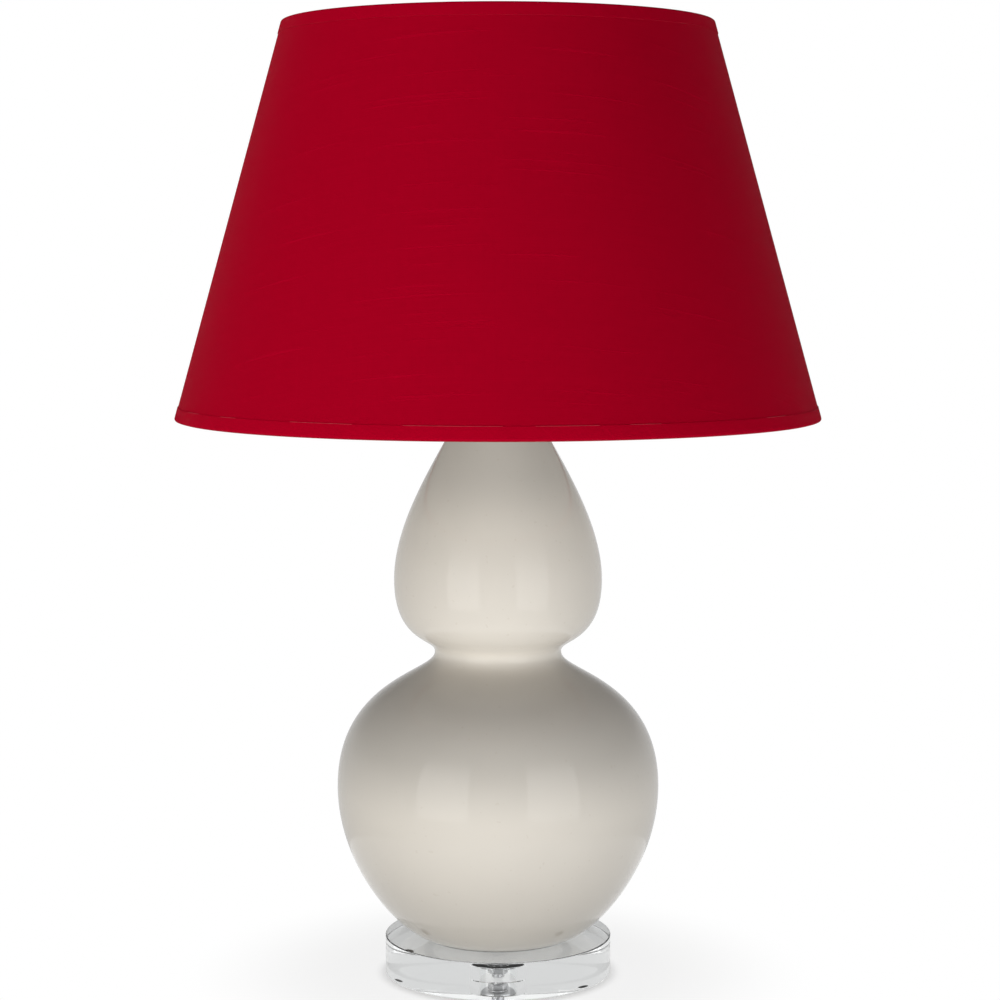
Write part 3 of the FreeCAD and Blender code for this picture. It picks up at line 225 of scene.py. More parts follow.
def glaze_finish():
    g = Finish("ivory_glaze", IOR=1.52, Specular_IOR_Level=0.36)
    place = g.place()
    height = three_parts(place)[2]
    band_fades = g.step(height, WAIST_Z + SHADE_BAND_FADES, WAIST_Z + SHADE_BAND_END)
    band = g.step(height, WAIST_Z + SHADE_BAND_START, WAIST_Z + SHADE_BAND_FULL) * (1.0 - band_fades)
    neck = g.step(height, WAIST_Z + NECK_SHADE_START, WAIST_Z + NECK_SHADE_FULL)
    cloud = g.step(g.noise(place, 9.0, 3.0), 0.45, 0.75)
    # The waist band and the neck are painted shade; the clouds are random tone of the glaze.
    shade_and_cloud = (band * SHADE_BAND_SHARE + neck * NECK_SHADE_SHARE + cloud * CLOUD_SHARE).math("MINIMUM", 1.0)
    speck = g.step(g.noise(place, 300.0, 0.0), 0.79, 0.83)
    bare = 1.0 - g.step(height, FOOT_Z + BARE_FOOT * 0.8, FOOT_Z + BARE_FOOT)
    coloured = g.mix(speck * SPECK_SHARE, g.mix(shade_and_cloud, IVORY, SHADE_AND_CLOUD_IVORY), SPECK_BROWN)
    drift = g.noise(place, 26.0, 1.0)
    pit = g.step(g.noise(place, 650.0, 0.0), 0.74, 0.80)
    relief = drift - pit * 0.15 + g.noise(place, 900.0) * 0.02 * bare
    g.feed(Base_Color=g.mix(bare, coloured, BISCUIT),
           Roughness=0.022 + drift * 0.03 + bare * 0.6,
           Normal=g.bump(relief, 0.0002, 0.35))
    return g.material


glaze = glaze_finish()
print("glaze: waist at", round(WAIST_Z, 4), "m, bare below", round(FOOT_Z + BARE_FOOT, 4), "m")

# %% [markdown]
# ### Clear acrylic
#
# The disc is turned from thick cast sheet and polished. It is clear enough to see the nut and washer in
# the counterbore, and it bends the white surroundings into grey and white bands. Only very fine polishing
# haze and a few hairline scratches change over its surface.

# %% Acrylic
def acrylic_finish():
    g = Finish("clear_acrylic", Base_Color=(0.972, 0.985, 0.985, 1.0), IOR=1.49, Transmission_Weight=1.0)
    place = g.place()
    haze = g.noise(place, 60.0, 3.0)
    scratch = g.noise(g.stretched(place, (40.0, 900.0, 40.0), 0.6), 1.0, 1.0)
    g.feed(Roughness=0.004 + g.step(haze, 0.55, 0.8) * 0.012,
           Normal=g.bump(g.step(scratch, 0.72, 0.78), 0.00002, 0.25))
    return g.material


acrylic = acrylic_finish()
print("finish", acrylic.name)

# %% [markdown]
# ### Red cotton
#
# A fine plain weave, dyed a deep crimson. Two sets of threads cross at right angles, each with its own
# slight change of shade and thickness along its length, and the pale fuzz of the fibres catches light at
# grazing angles, which is why the shade's edges look pinker than its face. The weave follows the flat cut
# of the cloth, so the finish reads a UV map that is laid out in metres on the flat pattern.

# %% Cotton
THREADS_PER_M = 1900.0
SHEEN, SHEEN_ROUGH, SHEEN_PINK = 0.13, 0.24, (1.0, 0.46, 0.50, 1.0)
CRIMSON, CRIMSON_DARK = (0.42, 0.0004, 0.0165), (0.335, 0.0002, 0.0115)


def cotton_finish(name, turn=0.0, lift=1.0):
    g = Finish(name, Sheen_Weight=SHEEN, Sheen_Roughness=SHEEN_ROUGH, Sheen_Tint=SHEEN_PINK, IOR=1.45,
               Specular_IOR_Level=0.0)
    flat = g.node("ShaderNodeUVMap", {"uv_map": "cut"})
    cut = g.node("ShaderNodeMapping", {}, flat, None, (0.0, 0.0, turn))
    across, along, _ = three_parts(cut)
    weft_shade = g.noise(g.stretched(cut, (14.0, 1500.0, 1.0)), 1.0, 1.0)
    warp_shade = g.noise(g.stretched(cut, (1500.0, 14.0, 1.0)), 1.0, 1.0)
    warp = (across * (THREADS_PER_M * math.pi)).math("SINE").math("ABSOLUTE")
    weft = (along * (THREADS_PER_M * math.pi)).math("SINE").math("ABSOLUTE")
    column, row = (across * THREADS_PER_M).math("FLOOR"), (along * THREADS_PER_M).math("FLOOR")
    checker = (column + row).math("MODULO", 2.0).math("ABSOLUTE")
    over_under = warp * checker + weft * (1.0 - checker)
    slub = g.step(g.noise(g.stretched(cut, (9.0, 420.0, 1.0)), 1.0, 0.0), 0.70, 0.80)
    fade = g.noise(g.stretched(cut, (3.0, 3.0, 1.0)), 1.0, 2.0)
    tone = weft_shade * 0.55 + warp_shade * 0.3 + over_under * 0.25 + slub * 0.35 - 0.15 + fade * 0.12
    dark, bright = [c * lift for c in CRIMSON_DARK], [c * lift for c in CRIMSON]
    g.feed(Base_Color=g.mix(tone.math("MINIMUM", 1.0), dark, bright),
           Roughness=0.78 + warp_shade * 0.12,
           Normal=g.bump(over_under * 0.7 + weft_shade * 0.5 + slub * 0.9, 0.00022, 0.55))
    return g.material


cotton = cotton_finish("red_cotton")
cotton_bias = cotton_finish("red_cotton_bias", math.radians(45.0), 1.06)
print("cotton:", THREADS_PER_M / 1000.0, "threads a millimetre")

# %% [markdown]
# ### Metals, plastics and the rest
#
# The harp, saddle, cap and finial are polished nickel plate: bright, slightly warm, with faint wiping
# marks. The nuts and washers are zinc plated steel with a mottled spangle. Brass and the bulb's cap have
# their own tones. One function makes all four: soft patches of tarnish, and fine marks in one direction.

# %% Metal finish
def metal_finish(name, colour, rough, spread, tarnish, scale=90.0, depth=0.00003):
    """Metal whose roughness and tarnish change in soft patches, with fine marks along its length."""
    g = Finish(name, Metallic=1.0)
    place = g.place()
    patch = g.noise(place, scale, 4.0, 0.6)
    wipe = g.noise(g.stretched(place, (260.0, 260.0, 30.0)), 1.0, 2.0)
    dirt = g.step(patch, 0.5, 0.85)
    g.feed(Base_Color=g.mix(dirt * 0.6 + wipe * 0.15, colour, tarnish),
           Roughness=rough + patch * spread + wipe * spread * 0.5,
           Normal=g.bump(wipe + patch * 0.5, depth, 0.3))
    return g.material


nickel = metal_finish("polished_nickel", (0.74, 0.71, 0.66), 0.09, 0.10, (0.60, 0.55, 0.47))
zinc = metal_finish("zinc_plate", (0.47, 0.47, 0.48), 0.16, 0.22, (0.25, 0.25, 0.25), 260.0)
brass = metal_finish("plain_brass", (0.79, 0.58, 0.26), 0.18, 0.20, (0.45, 0.29, 0.12), 160.0)
tin_cap = metal_finish("bulb_cap_metal", (0.78, 0.77, 0.74), 0.24, 0.2, (0.52, 0.50, 0.46), 200.0)
print(len(bpy.data.materials), "materials so far, with the frame's own")

# %% [markdown]
# Plastics, paint, rubber, fibre and frosted glass differ in colour and gloss, and all have a fine even
# grain. One function makes them: two close tones in soft patches, and a grain in the roughness and the
# bump.

# %% Plastic, fibre, paint and glass
def grained_finish(name, colour, second, rough, scale, depth, **constants):
    """A moulded or coated surface: two close tones in soft patches, with a fine grain."""
    g = Finish(name, **constants)
    place = g.place()
    patch = g.noise(place, scale, 3.0)
    grain = g.noise(place, scale * 9.0, 2.0)
    g.feed(Base_Color=g.mix(g.step(patch, 0.35, 0.7), colour, second),
           Roughness=rough + grain * 0.12,
           Normal=g.bump(grain, depth, 0.5))
    return g.material


black_plastic = grained_finish("black_plastic", (0.012, 0.012, 0.012), (0.02, 0.019, 0.018),
                               0.24, 120.0, 0.00005)
fibre = grained_finish("insulating_fibre", (0.42, 0.33, 0.22), (0.33, 0.25, 0.16),
                       0.75, 220.0, 0.0001)
ivory_plastic = grained_finish("ivory_plastic", (0.72, 0.68, 0.58), (0.66, 0.61, 0.51),
                               0.35, 150.0, 0.00004)
white_wire = grained_finish("white_coated_wire", (0.78, 0.77, 0.74), (0.70, 0.69, 0.65),
                            0.35, 150.0, 0.00006)
styrene = grained_finish("white_styrene", (0.80, 0.785, 0.75), (0.76, 0.74, 0.70),
                         0.42, 25.0, 0.00004)
bumper = grained_finish("clear_bumper", (0.95, 0.96, 0.95), (0.90, 0.91, 0.90),
                        0.05, 200.0, 0.00002, Transmission_Weight=0.96, IOR=1.45)
# Painted highlight: the trim's edge thread is paler and pinker than the cloth, where the fold catches
# light.
pale_thread = grained_finish("pale_thread", (0.56, 0.06, 0.08), (0.46, 0.02, 0.04),
                             0.7, 300.0, 0.00004)
gasket = grained_finish("grey_gasket", (0.30, 0.295, 0.28), (0.24, 0.235, 0.22),
                        0.6, 300.0, 0.00006)
frosted = grained_finish("frosted_bulb", (0.86, 0.85, 0.81), (0.82, 0.81, 0.77),
                         0.28, 70.0, 0.00002, Subsurface_Weight=0.25,
                         Subsurface_Radius=(0.004, 0.004, 0.004), Coat_Weight=0.3)
black_glass = grained_finish("black_glass", (0.01, 0.01, 0.013), (0.016, 0.015, 0.018),
                             0.08, 150.0, 0.00002)
print(len(bpy.data.materials), "materials with the plastics")

# %% [markdown]
# ## Turned shapes
#
# Most of a lamp is turned, spun or cast round one axis. A Geometry Nodes tree does the turning: its input
# is the outline as a chain of points, it bends a flat grid round the axis with a column of points for
# each step, joins the seam and the poles, and gives the finish. The sizes are named inputs, so ribs, a
# screw thread or a slight unevenness can be added without another tree.

# %% Inputs of a tree
def new_tree(name, inputs):
    """A geometry tree with a mesh going in and out, and a graph for it."""
    tree = bpy.data.node_groups.new(name, "GeometryNodeTree")
    tree.interface.new_socket("Geometry", in_out="INPUT", socket_type="NodeSocketGeometry")
    for socket, kind, value in inputs:
        made = tree.interface.new_socket(socket, in_out="INPUT", socket_type=kind)
        if value is not None:
            made.default_value = value
    tree.interface.new_socket("Geometry", in_out="OUTPUT", socket_type="NodeSocketGeometry")
    graph = Graph(tree)
    group_input = tree.nodes.new("NodeGroupInput")
    return graph, {s.name: Link(graph, s) for s in group_input.outputs if s.name}


def end_tree(graph, geometry, finish):
    """The last nodes of every tree: real mesh, smooth shading, the finish and the output."""
    real = graph.node("GeometryNodeRealizeInstances", {}, geometry)
    smooth = graph.node("GeometryNodeSetShadeSmooth", {}, real)
    painted = graph.node("GeometryNodeSetMaterial", {}, smooth, Material=finish)
    output = graph.tree.nodes.new("NodeGroupOutput")
    graph.tree.links.new(painted.socket, output.inputs[0])
    return graph.tree


print("every tree ends in real mesh, smooth shading and a finish")

# %% [markdown]
# The turning tree samples the outline's points in order. The angle comes from the grid's first direction
# and the point from its second. Ribs, unevenness and a screw thread are added to the radius before the
# point is placed.

# %% The turning tree
def turning_tree():
    g, given = new_tree("turning", [
        ("Around", "NodeSocketInt", 96),
        ("Ribs", "NodeSocketInt", 0), ("Rib Depth", "NodeSocketFloat", 0.0),
        ("Uneven", "NodeSocketFloat", 0.0), ("Uneven Scale", "NodeSocketFloat", 8.0),
        ("Pitch", "NodeSocketFloat", 1.0), ("Thread", "NodeSocketFloat", 0.0),
        ("Thread Low", "NodeSocketFloat", 0.0), ("Thread High", "NodeSocketFloat", 0.0),
        ("Thread Inside", "NodeSocketFloat", 0.0), ("Finish", "NodeSocketMaterial", None)])
    outline = given["Geometry"]
    count = g.node("GeometryNodeAttributeDomainSize", {"component": "MESH"}, outline)
    grid = g.node("GeometryNodeMeshGrid", {}, 1.0, 1.0, given["Around"] + 1.0, count)
    across, along, _ = three_parts(g.node("GeometryNodeInputPosition", {}))
    turn, climb = across + 0.5, along + 0.5
    which = (climb * (count - 1.0)).math("ROUND")
    sample = g.node("GeometryNodeSampleIndex", {"data_type": "FLOAT_VECTOR"}, outline,
                    Value=g.node("GeometryNodeInputPosition", {}), Index=which)
    radius, _, height = three_parts(sample)
    angle = turn * (2.0 * math.pi)
    cosine, sine = angle.math("COSINE"), angle.math("SINE")
    rib = (angle * given["Ribs"]).math("COSINE") * given["Rib Depth"]
    true_place = g.node("ShaderNodeCombineXYZ", {}, radius * cosine, radius * sine, height)
    noise = g.node("ShaderNodeTexNoise", {}, Vector=true_place, Scale=given["Uneven Scale"], Detail=1.0)
    wave = noise - 0.5
    off_axis = g.step(radius, 0.0005, 0.01)
    run_out = given["Pitch"] * 0.4
    ends = g.step(height, given["Thread Low"], given["Thread Low"] + run_out)
    ends = ends * (1.0 - g.step(height, given["Thread High"] - run_out, given["Thread High"]))
    ends = ends * radius.math("GREATER_THAN", given["Thread Inside"])
    helix = 0.5 - (height / given["Pitch"] * (2.0 * math.pi) - angle).math("COSINE") * 0.5
    reach = radius + (rib + wave * 2.0 * given["Uneven"]) * off_axis + helix * given["Thread"] * ends
    place = g.node("ShaderNodeCombineXYZ", {}, reach * cosine, reach * sine, height)
    turned = g.node("GeometryNodeSetPosition", {}, grid, Position=place)
    closed = g.node("GeometryNodeMergeByDistance", {}, turned, Distance=2e-6)
    return end_tree(g, closed, given["Finish"])


turning = turning_tree()
print("turning tree:", [s.name for s in turning.interface.items_tree])

# %% [markdown]
# A tree needs something to work on: a chain of points, which is the outline of a turned piece or the path
# of a wire. The faces that come out are turned outwards, because a turned grid can come out either way
# round, and edges sharper than 38 degrees stay sharp.

# %% A chain of points
def chain(name, points, closed=False):
    """A mesh of points joined one to the next, which a tree turns into a piece."""
    mesh = bpy.data.meshes.new(name)
    links = [(i, i + 1) for i in range(len(points) - 1)]
    if closed:
        links.append((len(points) - 1, 0))
    mesh.from_pydata([tuple(p) for p in points], links, [])
    return in_scene(name, mesh)


SHARP = math.radians(38.0)


def mesh_from(work, name):
    """A plain mesh from points and faces that were worked on."""
    mesh = bpy.data.meshes.new(name)
    work.to_mesh(mesh)
    work.free()
    return mesh


def face_outward(piece):
    """Turns every face outwards and shades the piece smooth between its sharp edges."""
    work = bmesh.new()
    work.from_mesh(piece.data)
    bmesh.ops.delete(work, geom=[edge for edge in work.edges if not edge.link_faces], context="EDGES")
    bmesh.ops.recalc_face_normals(work, faces=work.faces)
    work.to_mesh(piece.data)
    work.free()
    piece.data.shade_smooth()
    piece.data.set_sharp_from_angle(angle=SHARP)


print("edges sharper than", round(math.degrees(SHARP)), "degrees stay sharp")

# %% [markdown]
# A tree runs as a modifier on its chain. Its inputs are set by their sockets' identifiers, its result is
# copied into a plain mesh, and the chain and the modifier go.

# %% Run a tree and keep the plain mesh
def run_tree(name, base, tree, **values):
    """Sets the tree's inputs on the base object, and puts its result in a plain object."""
    modifier = base.modifiers.new("tree", "NODES")
    modifier.node_group = tree
    known = {s.name: s.identifier for s in tree.interface.items_tree if s.in_out == "INPUT"}
    for key, value in values.items():
        modifier[known[key.replace("_", " ")]] = value
    bpy.context.view_layer.update()
    evaluated = base.evaluated_get(bpy.context.evaluated_depsgraph_get())
    mesh = bpy.data.meshes.new_from_object(evaluated)
    old = base.data
    bpy.data.objects.remove(base)
    bpy.data.meshes.remove(old)
    mesh.name = name
    piece = in_scene(name, mesh)
    face_outward(piece)
    return piece


print("trees that can be run:", [tree.name for tree in bpy.data.node_groups])

# %% [markdown]
# An outline is drawn as radius and height in millimetres: straight runs, cubic curves with two handles,
# and corners rounded by a curve that leaves and arrives along their sides.

# %% Outlines
CLOSE = 0.02   # millimetres from a corner's end to the point beside it
ROUND = 0.56   # of a corner's side: handles this long make a cubic curve nearly a quarter circle


class Outline:
    """A chain of points, as radius and height in millimetres."""

    def __init__(self, r, z):
        self.points = [(r, z)]

    def to(self, *points):
        self.points.extend(points)
        return self

    def curve(self, leave, arrive, end, steps=16):
        """A cubic curve to the end, with the handle that it leaves along and the one it arrives along."""
        (r0, z0), (r3, z3) = self.points[-1], end
        poles = [(r0, z0), (r0 + leave[0], z0 + leave[1]), (r3 - arrive[0], z3 - arrive[1]), (r3, z3)]
        for i in range(1, steps + 1):
            t = i / steps
            weights = ((1 - t) ** 3, 3 * t * (1 - t) ** 2, 3 * t * t * (1 - t), t ** 3)
            self.points.append(tuple(sum(w * p[k] for w, p in zip(weights, poles)) for k in (0, 1)))
        return self

    def corner(self, point, end, steps=4):
        """A rounded corner: from the last point to the end, bending at the corner's own point.

        A close point before it and one after it keep the smooth shading off the flat sides.
        """
        (r0, z0), (rc, zc), (r3, z3) = self.points[-1], point, end
        into, out = math.hypot(rc - r0, zc - z0), math.hypot(r3 - rc, z3 - zc)
        self.points.insert(-1, (r0 - (rc - r0) / into * CLOSE, z0 - (zc - z0) / into * CLOSE))
        leave = ((rc - r0) * ROUND, (zc - z0) * ROUND)
        arrive = ((r3 - rc) * ROUND, (z3 - zc) * ROUND)
        self.curve(leave, arrive, end, steps)
        return self.to((r3 + (r3 - rc) / out * CLOSE, z3 + (z3 - zc) / out * CLOSE))

    def swing(self, middle, radius, start, end, steps=16):
        """Points round a circle, between two angles in degrees: 0 is straight out and 90 is up."""
        for i in range(steps + 1):
            angle = math.radians(start + (end - start) * i / steps)
            self.points.append((middle[0] + radius * math.cos(angle), middle[1] + radius * math.sin(angle)))
        return self

    def metres(self, base_z=0.0):
        return [(r * MM, 0.0, z * MM + base_z) for r, z in self.points]


print("an outline is drawn in millimetres, and a corner has a point", CLOSE, "mm beside each end")

# %% [markdown]
# Two helpers serve every piece below: one turns an outline, and one ties the finished piece to the frame.

# %% Turn a piece and tie it to the frame
def turned(name, outline, base_z, finish, around=96, **values):
    """A piece turned from an outline that stands on a height."""
    path = chain(name, outline.metres(base_z))
    return run_tree(name, path, turning, Around=around, Finish=finish, **values)


def dress(piece, body, slot, *replaced):
    """Ties a finished piece to its body and hides the frame nodes that it stands for. The slot is not used.
    """
    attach(piece, body)
    if replaced:
        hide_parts(*replaced)
    return piece


print("replacing needs the frame's names, such as", sorted(node)[:3])

# %% [markdown]
# ## The camera and the studio
#
# The lamp was photographed from a little above its middle with a long lens. The glaze tells where the
# light was: its two soft reflections reach from a little above the horizon to far below it, so both soft
# boxes stood low, one at each side of the camera, and nothing shone from above. The studio here is the
# same, with one difference: a soft box's reflection fades towards its top, and an area light's can't. So
# the lights are hidden from the gloss, and two glowing panels near them make the reflections. The lamp
# stands on a small round white plinth, so that the boxes and the pale surround can also light it from
# below.

# %% Camera
EYE, TARGET = Vector((0.0016, -1.9838, 0.575)), Vector((0.0016, 0.0, 0.3817))
LENS_MM, SENSOR_MM = 90.43, 36.0

camera_data = bpy.data.cameras.new("camera")
camera_data.lens, camera_data.sensor_width = LENS_MM, SENSOR_MM
camera_data.sensor_fit = "HORIZONTAL"
camera = in_scene("camera", camera_data)
camera.location = EYE
camera.rotation_euler = (TARGET - EYE).to_track_quat("-Z", "Y").to_euler()
bpy.context.scene.camera = camera
bpy.context.scene.view_settings.view_transform = "Standard"
print("camera", LENS_MM, "mm, at", [round(v, 3) for v in EYE])

# %% [markdown]
# Each box is an area light of the real size of a studio soft box. The two low ones light the lamp. In the
# photograph the shade's left side is clearly brighter than its right, and the gourd's isn't, so two more
# boxes stand high and are later linked to the shade's cloth alone.

# %% Soft boxes
def at_azimuth(degrees):
    """A level direction from the lamp's axis: 0 is the camera's side and 90 the right."""
    angle = math.radians(degrees)
    return Vector((math.sin(angle), -math.cos(angle), 0.0))


def soft_box(name, azimuth, distance, height, size, watts, colour, aim_z):
    """A soft area light at an azimuth from the camera's side of the lamp, facing the lamp."""
    data = bpy.data.lights.new(name, "AREA")
    data.shape, data.size, data.size_y = "RECTANGLE", size[0], size[1]
    data.energy, data.color = watts, colour
    light = in_scene(name, data)
    light.visible_camera = light.visible_glossy = False
    light.location = at_azimuth(azimuth) * distance + Vector((0.0, 0.0, height))
    aim = Vector((0.0, 0.0, aim_z)) - light.location
    light.rotation_euler = aim.to_track_quat("-Z", "Y").to_euler()
    return light


WARM, COOL = (1.0, 0.992, 0.975), (0.985, 0.99, 1.0)
LOW_BOX = {"distance": 1.5, "height": -0.08, "size": (1.0, 1.2), "aim_z": 0.17}
soft_box("left_box", -38.0, watts=12.6, colour=WARM, **LOW_BOX)
soft_box("right_box", 37.0, watts=11.0, colour=COOL, **LOW_BOX)
shade_boxes = [soft_box("shade_left_box", -58.0, 1.4, 1.45, (0.6, 0.5), 8.6, WARM, aim_z=0.80),
               soft_box("shade_right_box", 52.0, 1.3, 1.50, (0.5, 0.5), 1.8, COOL, aim_z=0.90)]
print(len(bpy.data.lights), "soft boxes")

# %% [markdown]
# A panel is one upright face with a glow that fades upwards into a clear top. Ray visibility keeps it out
# of the camera's sight and out of the light, so it shows in the glaze, the metal and the polished acrylic
# and nowhere else.

# %% Reflected panels
PANEL_FAR, PANEL_HALF_WIDE, PANEL_LOW, PANEL_HIGH = 0.85, 0.27, -0.05, 0.76
FADE_FROM = PANEL_LOW + 0.45 * (PANEL_HIGH - PANEL_LOW)


def panel(name, azimuth, glow):
    """A glowing upright panel that only a gloss can see. It fades towards its top."""
    out, side = at_azimuth(azimuth), at_azimuth(azimuth + 90.0)
    corners = [out * PANEL_FAR + side * s * PANEL_HALF_WIDE + Vector((0.0, 0.0, z))
               for s, z in ((-1, PANEL_LOW), (1, PANEL_LOW), (1, PANEL_HIGH), (-1, PANEL_HIGH))]
    mesh = bpy.data.meshes.new(name)
    mesh.from_pydata([tuple(c) for c in corners], [], [(0, 1, 2, 3)])
    made = in_scene(name, mesh)
    g = Finish(name + "_glow")
    height = three_parts(g.place())[2]
    fade = 1.0 - g.step(height, FADE_FROM, PANEL_HIGH)
    lit = g.node("ShaderNodeEmission", {}, (1.0, 0.995, 0.985, 1.0), glow)
    both = g.node("ShaderNodeMixShader", {}, fade, g.node("ShaderNodeBsdfTransparent", {}), lit)
    g.tree.links.new(both.socket, g.output.inputs[0])
    mesh.materials.append(g.material)
    made.visible_camera = made.visible_diffuse = made.visible_transmission = made.visible_shadow = False


panel("left_panel", -37.0, 1.8)
panel("right_panel", 37.0, 1.7)
print("panels", PANEL_HIGH - PANEL_LOW, "m tall, from", PANEL_LOW, "m")

# %% [markdown]
# The photograph's background is pure white, yet a lamp in an evenly white room would have no shading. So
# the surround depends on the ray. The lens sees white. A gloss and the clear acrylic see a light grey
# with a darker ceiling, which draws the bands in them. The light that falls on the lamp is a soft grey,
# darker above.

# %% Surround
SIDE_LIGHT, TOP_LIGHT = 0.42, 0.08
TOP_SEEN, GLOSS_SEEN, THROUGH_SEEN = 0.40, 0.70, 0.67
DARKENS_FROM, DARK_ABOVE, STEEP_FROM, STEEP_ABOVE = -0.02, 0.34, 0.30, 0.60   # how steeply a ray climbs


def surround():
    """White where the lens sees it, and a pale room with a dark ceiling for everything else."""
    world = bpy.data.worlds.new("surround")
    world.use_nodes = True
    bpy.context.scene.world = world
    g = Graph(world.node_tree)
    g.tree.nodes.clear()
    rays = g.tree.nodes.new("ShaderNodeLightPath")
    through = Link(g, rays.outputs["Is Transmission Ray"])
    gloss = Link(g, rays.outputs["Is Glossy Ray"]) * (1.0 - through)
    seen = Link(g, rays.outputs["Is Camera Ray"]).math("MAXIMUM", through).math("MAXIMUM", gloss)
    climb = three_parts(g.node("ShaderNodeTexCoord", {}, out=0))[2]
    upward = g.step(climb, DARKENS_FROM, DARK_ABOVE)
    steep = g.step(climb, STEEP_FROM, STEEP_ABOVE)
    ceiling = 1.0 - (upward * gloss).math("MAXIMUM", steep * through) * (1.0 - TOP_SEEN)
    bright = ceiling * (1.0 - gloss * (1.0 - GLOSS_SEEN) - through * (1.0 - THROUGH_SEEN))
    white = g.node("ShaderNodeBackground", {}, (1.0, 1.0, 1.0, 1.0), bright)
    soft = g.node("ShaderNodeBackground", {}, (1.0, 0.992, 0.98, 1.0),
                  SIDE_LIGHT - upward * (SIDE_LIGHT - TOP_LIGHT))
    both = g.node("ShaderNodeMixShader", {}, seen, soft, white)
    output = g.tree.nodes.new("ShaderNodeOutputWorld")
    g.tree.links.new(both.socket, output.inputs[0])


surround()
print("surround: side light", SIDE_LIGHT, "and top light", TOP_LIGHT)

# %% [markdown]
# The floor has to be white and still hold the lamp's soft contact shadow. Its finish mixes a plain pale
# surface with a white glow: half of each under the lamp, mostly glow past the disc's edge, and nothing
# but glow further out. The lamp's underside catches a little light from it, as from a real white table.

# %% Plinth
PLINTH_R, PLINTH_TOP, PLINTH_DEEP, FLOOR_BOUNCE = 0.36, -0.0002, 0.004, 0.12
WHITE_UNDER, WHITE_BESIDE, WHITE_FAR = 0.50, 0.36, 0.14   # shares of the glow, which add up to 1
BESIDE, FAR = (0.085, 0.10), (0.11, 0.26)                 # where the last two rise, from the axis


def plinth():
    """A round white top that is nearly white to the lens, and keeps the lamp's own shadow near its foot."""
    outline = [(r, 0.0, z) for r, z in ((0.0, PLINTH_TOP), (PLINTH_R, PLINTH_TOP),
                                        (PLINTH_R, -PLINTH_DEEP), (0.0, -PLINTH_DEEP))]
    g = Finish("pale_floor", Base_Color=(0.90, 0.90, 0.895, 1.0), Roughness=0.9, Specular_IOR_Level=0.1)
    rays = g.tree.nodes.new("ShaderNodeLightPath")
    kinds = ("Camera", "Transmission", "Glossy", "Diffuse")
    lens, through, gloss, diffuse = (Link(g, rays.outputs["Is %s Ray" % kind]) for kind in kinds)
    seen = lens.math("MAXIMUM", through).math("MAXIMUM", gloss)
    across, along, _ = three_parts(g.place())
    distance = (across * across + along * along).math("SQRT")
    share = WHITE_UNDER + g.step(distance, *BESIDE) * WHITE_BESIDE + g.step(distance, *FAR) * WHITE_FAR
    glowing = (seen * share).math("MAXIMUM", diffuse * FLOOR_BOUNCE)
    white = g.node("ShaderNodeEmission", {}, (1.0, 1.0, 1.0, 1.0), 1.0)
    both = g.node("ShaderNodeMixShader", {}, glowing, Link(g, g.shader.outputs[0]), white)
    g.tree.links.new(both.socket, g.output.inputs[0])
    run_tree("plinth", chain("plinth", outline), turning, Around=128, Finish=g.material)


plinth()
print("plinth", 2.0 * PLINTH_R, "m across")

# %% [markdown]
# ## The clear base
#
# A disc 181 mm across and 30 mm thick, with small polished bevels. The bore and counterbore are part of
# the same turned outline, because in clear material the inside walls show as much as the outside.

# %% Disc
DISC_LOW, DISC_HIGH = (corner.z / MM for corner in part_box("base_disc"))
DISC_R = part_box("base_disc")[1].x / MM
COUNTERBORE_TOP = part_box("base_washer")[1].z / MM
BORE_R, COUNTERBORE_R, BEVEL, CHAMFER, TOOL_R = 5.4, 15.0, 0.8, 0.3, 0.4


def disc_outline():
    low, high, rim, e, top = DISC_LOW, DISC_HIGH, DISC_R, BEVEL, COUNTERBORE_TOP
    return (Outline(COUNTERBORE_R + CHAMFER, low)
            .to((rim - e, low)).corner((rim, low), (rim, low + e))
            .to((rim, high - e)).corner((rim, high), (rim - e, high))
            .to((BORE_R + CHAMFER, high), (BORE_R, high - CHAMFER))
            .to((BORE_R, top), (COUNTERBORE_R - TOOL_R, top))
            .corner((COUNTERBORE_R, top), (COUNTERBORE_R, top - TOOL_R), 2)
            .to((COUNTERBORE_R, low + CHAMFER), (COUNTERBORE_R + CHAMFER, low)))


disc = dress(turned("clear_disc", disc_outline(), 0.0, acrylic, 192), "base", "acrylic", "base_disc")
print("disc", len(disc.data.vertices), "points")

# %% [markdown]
# ## The gourd
#
# A large and a small bulb, cast apart, luted together at the waist and glazed over as one skin, so one
# turned piece shows both. The outline is four cubic curves: foot to belly, belly to waist, waist to crown
# and crown to neck. A cast body is never perfectly true, so the tree lets its radius wander by a few
# hundredths of a millimetre, which makes the edges of the reflections waver. The wall goes inwards from
# the glaze.

# %% Gourd
FOOT_R, FOOT_RING, FOOT_RECESS, FLOOR_HOLE_R = 60.6, 10.0, 3.0, 7.65
BELLY_R, BELLY_H, WAIST_R = 128.4, 120.5, 50.4
CROWN_R, CROWN_H, NECK_R, NECK_H = 82.7, 286.4, 20.9, 445.7
WALL, FLOOR_H = 6.5, 10.0


